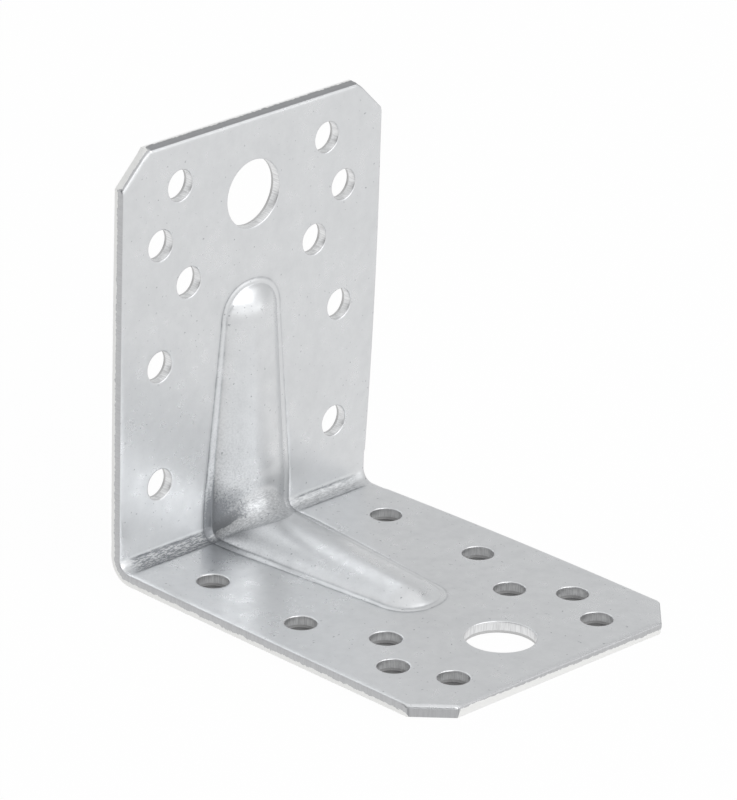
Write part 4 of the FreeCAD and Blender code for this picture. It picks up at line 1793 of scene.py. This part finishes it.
@dataclass(frozen=True)
class Studio:
    """The photograph's camera, a pale floor and soft light."""

    panels: tuple[Panel, ...] = (
        Panel("overhead_lamp", (-0.25, -0.15, 1.0), (0.0, 0.0, 1.0), 1.7, 1.9, 0.75),
        Panel("backdrop_lamp", (0.0, 1.2, 0.6), (0.0, 1.0, 0.0), 3.6, 1.36, 0.5),
        Panel("low_right_lamp", (1.2, 0.0, 0.15), (1.0, 0.0, 0.0), 2.2, 0.28, 1.25),
        Panel("right_lamp", (1.2, 0.25, 0.45), (1.0, 0.0, 0.0), 1.7, 0.32, 0.4),
        Panel("far_right_lamp", (0.95, 0.95, 0.33), (0.7, 0.7, 0.0), 0.8, 0.8, 0.06),
        Panel("left_lamp", (-1.2, -0.4, 0.45), (-1.0, 0.0, 0.0), 2.2, 0.9, 0.6),
        Panel("upper_right_lamp", (0.8, 0.58, 0.77), (0.64, 0.46, 0.62), 0.6, 0.38, 0.7),
        Panel("key_lamp", (0.96, 0.0, 0.8), (0.77, 0.0, 0.64), 1.5, 0.82, 1.72),
    )
    azimuth: float = 44.426
    elevation: float = 23.259
    roll: float = 1.756
    focal_pixels: float = 6846.4
    picture_height: float = 800.0
    shift_x: float = -20.543
    shift_y: float = -20.450
    distance: float = 1070.738
    sensor: float = 36.0
    nearest: float = 0.01
    farthest: float = 50.0
    soft_light: Colour = (0.98, 0.99, 1.0)
    soft_strength: float = 0.28
    floor_half: float = 1.6
    floor_drop: float = 0.00005
    open_grey: float = 0.8
    # Painted shadow on the floor under the base flange
    painted_shadow_grey: float = 0.2
    mirrored_grey: float = 0.96
    mirrored_under: float = 0.55
    shown_white: float = 0.97
    cover_margin: float = 3.0
    bolt_clearing: float = 0.3

    def camera(self, gauge: Gauge) -> None:
        """Stand the camera where the photograph was taken.

        Args:
            gauge: The sheet's shared sizes.
        """
        azimuth, elevation, roll = (math.radians(v) for v in (self.azimuth, self.elevation, self.roll))
        level = math.cos(elevation)
        back = Vector((math.sin(azimuth) * level, -math.cos(azimuth) * level, math.sin(elevation)))
        right = Vector((math.cos(azimuth), math.sin(azimuth), 0.0))
        up = back.cross(right)
        side = math.cos(roll) * right + math.sin(roll) * up
        top = -math.sin(roll) * right + math.cos(roll) * up
        place = side * -self.shift_x + top * -self.shift_y + back * self.distance
        place -= Vector((gauge.leg / 2, 0.0, 0.0))
        data = bpy.data.cameras.new("camera")
        data.sensor_width = self.sensor
        data.lens = self.focal_pixels / self.picture_height * self.sensor
        data.clip_start, data.clip_end = self.nearest, self.farthest
        camera = bpy.data.objects.new("camera", data)
        axes = Matrix((side, top, back)).transposed().to_4x4()
        camera.matrix_world = Matrix.Translation(place * MILLIMETRE) @ axes
        bpy.context.scene.collection.objects.link(camera)
        bpy.context.scene.camera = camera

    def world(self) -> None:
        """Light everything softly from all round, and show white behind the object."""
        world = bpy.data.worlds.new("studio")
        world.use_nodes = True
        world.node_tree.nodes.clear()
        sheet = NodeSheet(world.node_tree)
        seen = sheet.add("ShaderNodeLightPath").outputs["Is Camera Ray"]
        soft = self.glow(sheet, "ShaderNodeBackground", self.soft_light, strength=self.soft_strength)
        white = self.glow(sheet, "ShaderNodeBackground", grey(1.0), strength=1.0)
        mix = sheet.add("ShaderNodeMixShader", None, n0=seen, n1=soft, n2=white).outputs[0]
        sheet.add("ShaderNodeOutputWorld", None, surface=mix)
        bpy.context.scene.world = world

    @staticmethod
    def glow(sheet: NodeSheet, kind: str, colour: Colour, **inputs: float) -> Socket:
        """Return a plain shader of a kind and a colour."""
        return sheet.add(kind, None, color=(*colour, 1.0), **inputs).outputs[0]

    def floor(self, gauge: Gauge, bolt_hole: Hole) -> None:
        """Lay a pale floor that keeps a faint shadow, with a painted shadow under the base flange.

        Args:
            gauge: The sheet's shared sizes.
            bolt_hole: The base flange's bolt hole, through which the floor shows.
        """
        mesh = bpy.data.meshes.new("floor")
        half, low = self.floor_half, -self.floor_drop
        corners = [(-half, -half, low), (half, -half, low), (half, half, low), (-half, half, low)]
        mesh.from_pydata(corners, [], [(0, 1, 2, 3)])
        floor = bpy.data.objects.new("floor", mesh)
        bpy.context.scene.collection.objects.link(floor)
        made, sheet = blank_finish("floor")
        path = sheet.add("ShaderNodeLightPath").outputs
        open_floor = self.glow(sheet, "ShaderNodeBsdfDiffuse", grey(self.open_grey))
        # Painted shadow under the base flange
        painted_shadow = self.glow(sheet, "ShaderNodeBsdfDiffuse", grey(self.painted_shadow_grey))
        white = self.glow(sheet, "ShaderNodeEmission", grey(1.0), strength=1.0)
        pale = self.glow(sheet, "ShaderNodeEmission", grey(self.mirrored_grey), strength=1.0)
        beside = self.beside(sheet, gauge, bolt_hole)
        unseen = sheet.math("SUBTRACT", 1.0, path["Is Camera Ray"])
        lit = sheet.math("MAXIMUM", beside, sheet.math("MULTIPLY", unseen, self.mirrored_under))
        matt = sheet.add("ShaderNodeMixShader", None, n0=lit, n1=painted_shadow, n2=open_floor).outputs[0]
        seen = sheet.math("MULTIPLY", beside, self.shown_white)
        seen = sheet.math("MULTIPLY", path["Is Camera Ray"], seen)
        mirrored = sheet.math("MULTIPLY", path["Is Glossy Ray"], beside)
        mix = sheet.add("ShaderNodeMixShader", None, n0=seen, n1=matt, n2=white).outputs[0]
        mix = sheet.add("ShaderNodeMixShader", None, n0=mirrored, n1=mix, n2=pale).outputs[0]
        sheet.add("ShaderNodeOutputMaterial", None, surface=mix)
        mesh.materials.append(made)

    def beside(self, sheet: NodeSheet, gauge: Gauge, bolt_hole: Hole) -> Socket:
        """Tell the open floor from the floor that the base flange covers, which gets the painted shadow.

        Args:
            sheet: Writes the floor's finish.
            gauge: The sheet's shared sizes.
            bolt_hole: The base flange's bolt hole.

        Returns:
            0 under the flange, and 1 beside it and under its bolt hole.
        """
        place = sheet.add("ShaderNodeTexCoord").outputs["Object"]
        axes = sheet.add("ShaderNodeSeparateXYZ", None, vector=place).outputs
        end, side = gauge.leg / 2 - self.cover_margin, gauge.width / 2 - self.cover_margin
        past_end = sheet.math("GREATER_THAN", sheet.math("ABSOLUTE", axes["X"]), end * MILLIMETRE)
        past_side = sheet.math("GREATER_THAN", sheet.math("ABSOLUTE", axes["Y"]), side * MILLIMETRE)
        ahead = sheet.math("SUBTRACT", axes["X"], (bolt_hole.reach - gauge.leg / 2) * MILLIMETRE)
        aside = sheet.math("POWER", axes["Y"], 2.0)
        squared = sheet.math("ADD", sheet.math("MULTIPLY", ahead, ahead), aside)
        radius = (bolt_hole.radius + self.bolt_clearing) * MILLIMETRE
        in_bolt_hole = sheet.math("LESS_THAN", squared, radius**2)
        return sheet.math("MAXIMUM", sheet.math("MAXIMUM", past_end, past_side), in_bolt_hole)

    def lamp(self, panel: Panel) -> None:
        """Hang a soft lamp.

        Args:
            panel: The lamp.
        """
        data = bpy.data.lights.new(panel.name, "AREA")
        data.shape = "RECTANGLE"
        data.size, data.size_y = panel.width, panel.height
        data.energy = panel.radiance * math.pi * panel.width * panel.height
        lamp = bpy.data.objects.new(panel.name, data)
        turned = Vector(panel.away).to_track_quat("Z", "Y").to_matrix().to_4x4()
        lamp.matrix_world = Matrix.Translation(panel.centre) @ turned
        bpy.context.scene.collection.objects.link(lamp)

    def build(self, gauge: Gauge, bolt_hole: Hole) -> None:
        """Set up the camera, the light and the floor.

        Args:
            gauge: The sheet's shared sizes.
            bolt_hole: The base flange's bolt hole.
        """
        self.camera(gauge)
        self.world()
        self.floor(gauge, bolt_hole)
        for panel in self.panels:
            self.lamp(panel)
        bpy.context.scene.view_settings.view_transform = "Standard"


def grey(value: float) -> Colour:
    """Return a grey of one value."""
    return (value, value, value)


def main() -> None:
    """Build the bracket and its studio."""
    logging.basicConfig(level=logging.INFO, format="%(name)s: %(message)s")
    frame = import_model()
    bracket = Bracket(frame)
    piece = bracket.build()
    LOG.info("%s: %d polygons", piece.name, len(piece.data.polygons))
    Studio().build(bracket.gauge, bracket.base_bolt_hole())


if __name__ == "__main__":
    main()
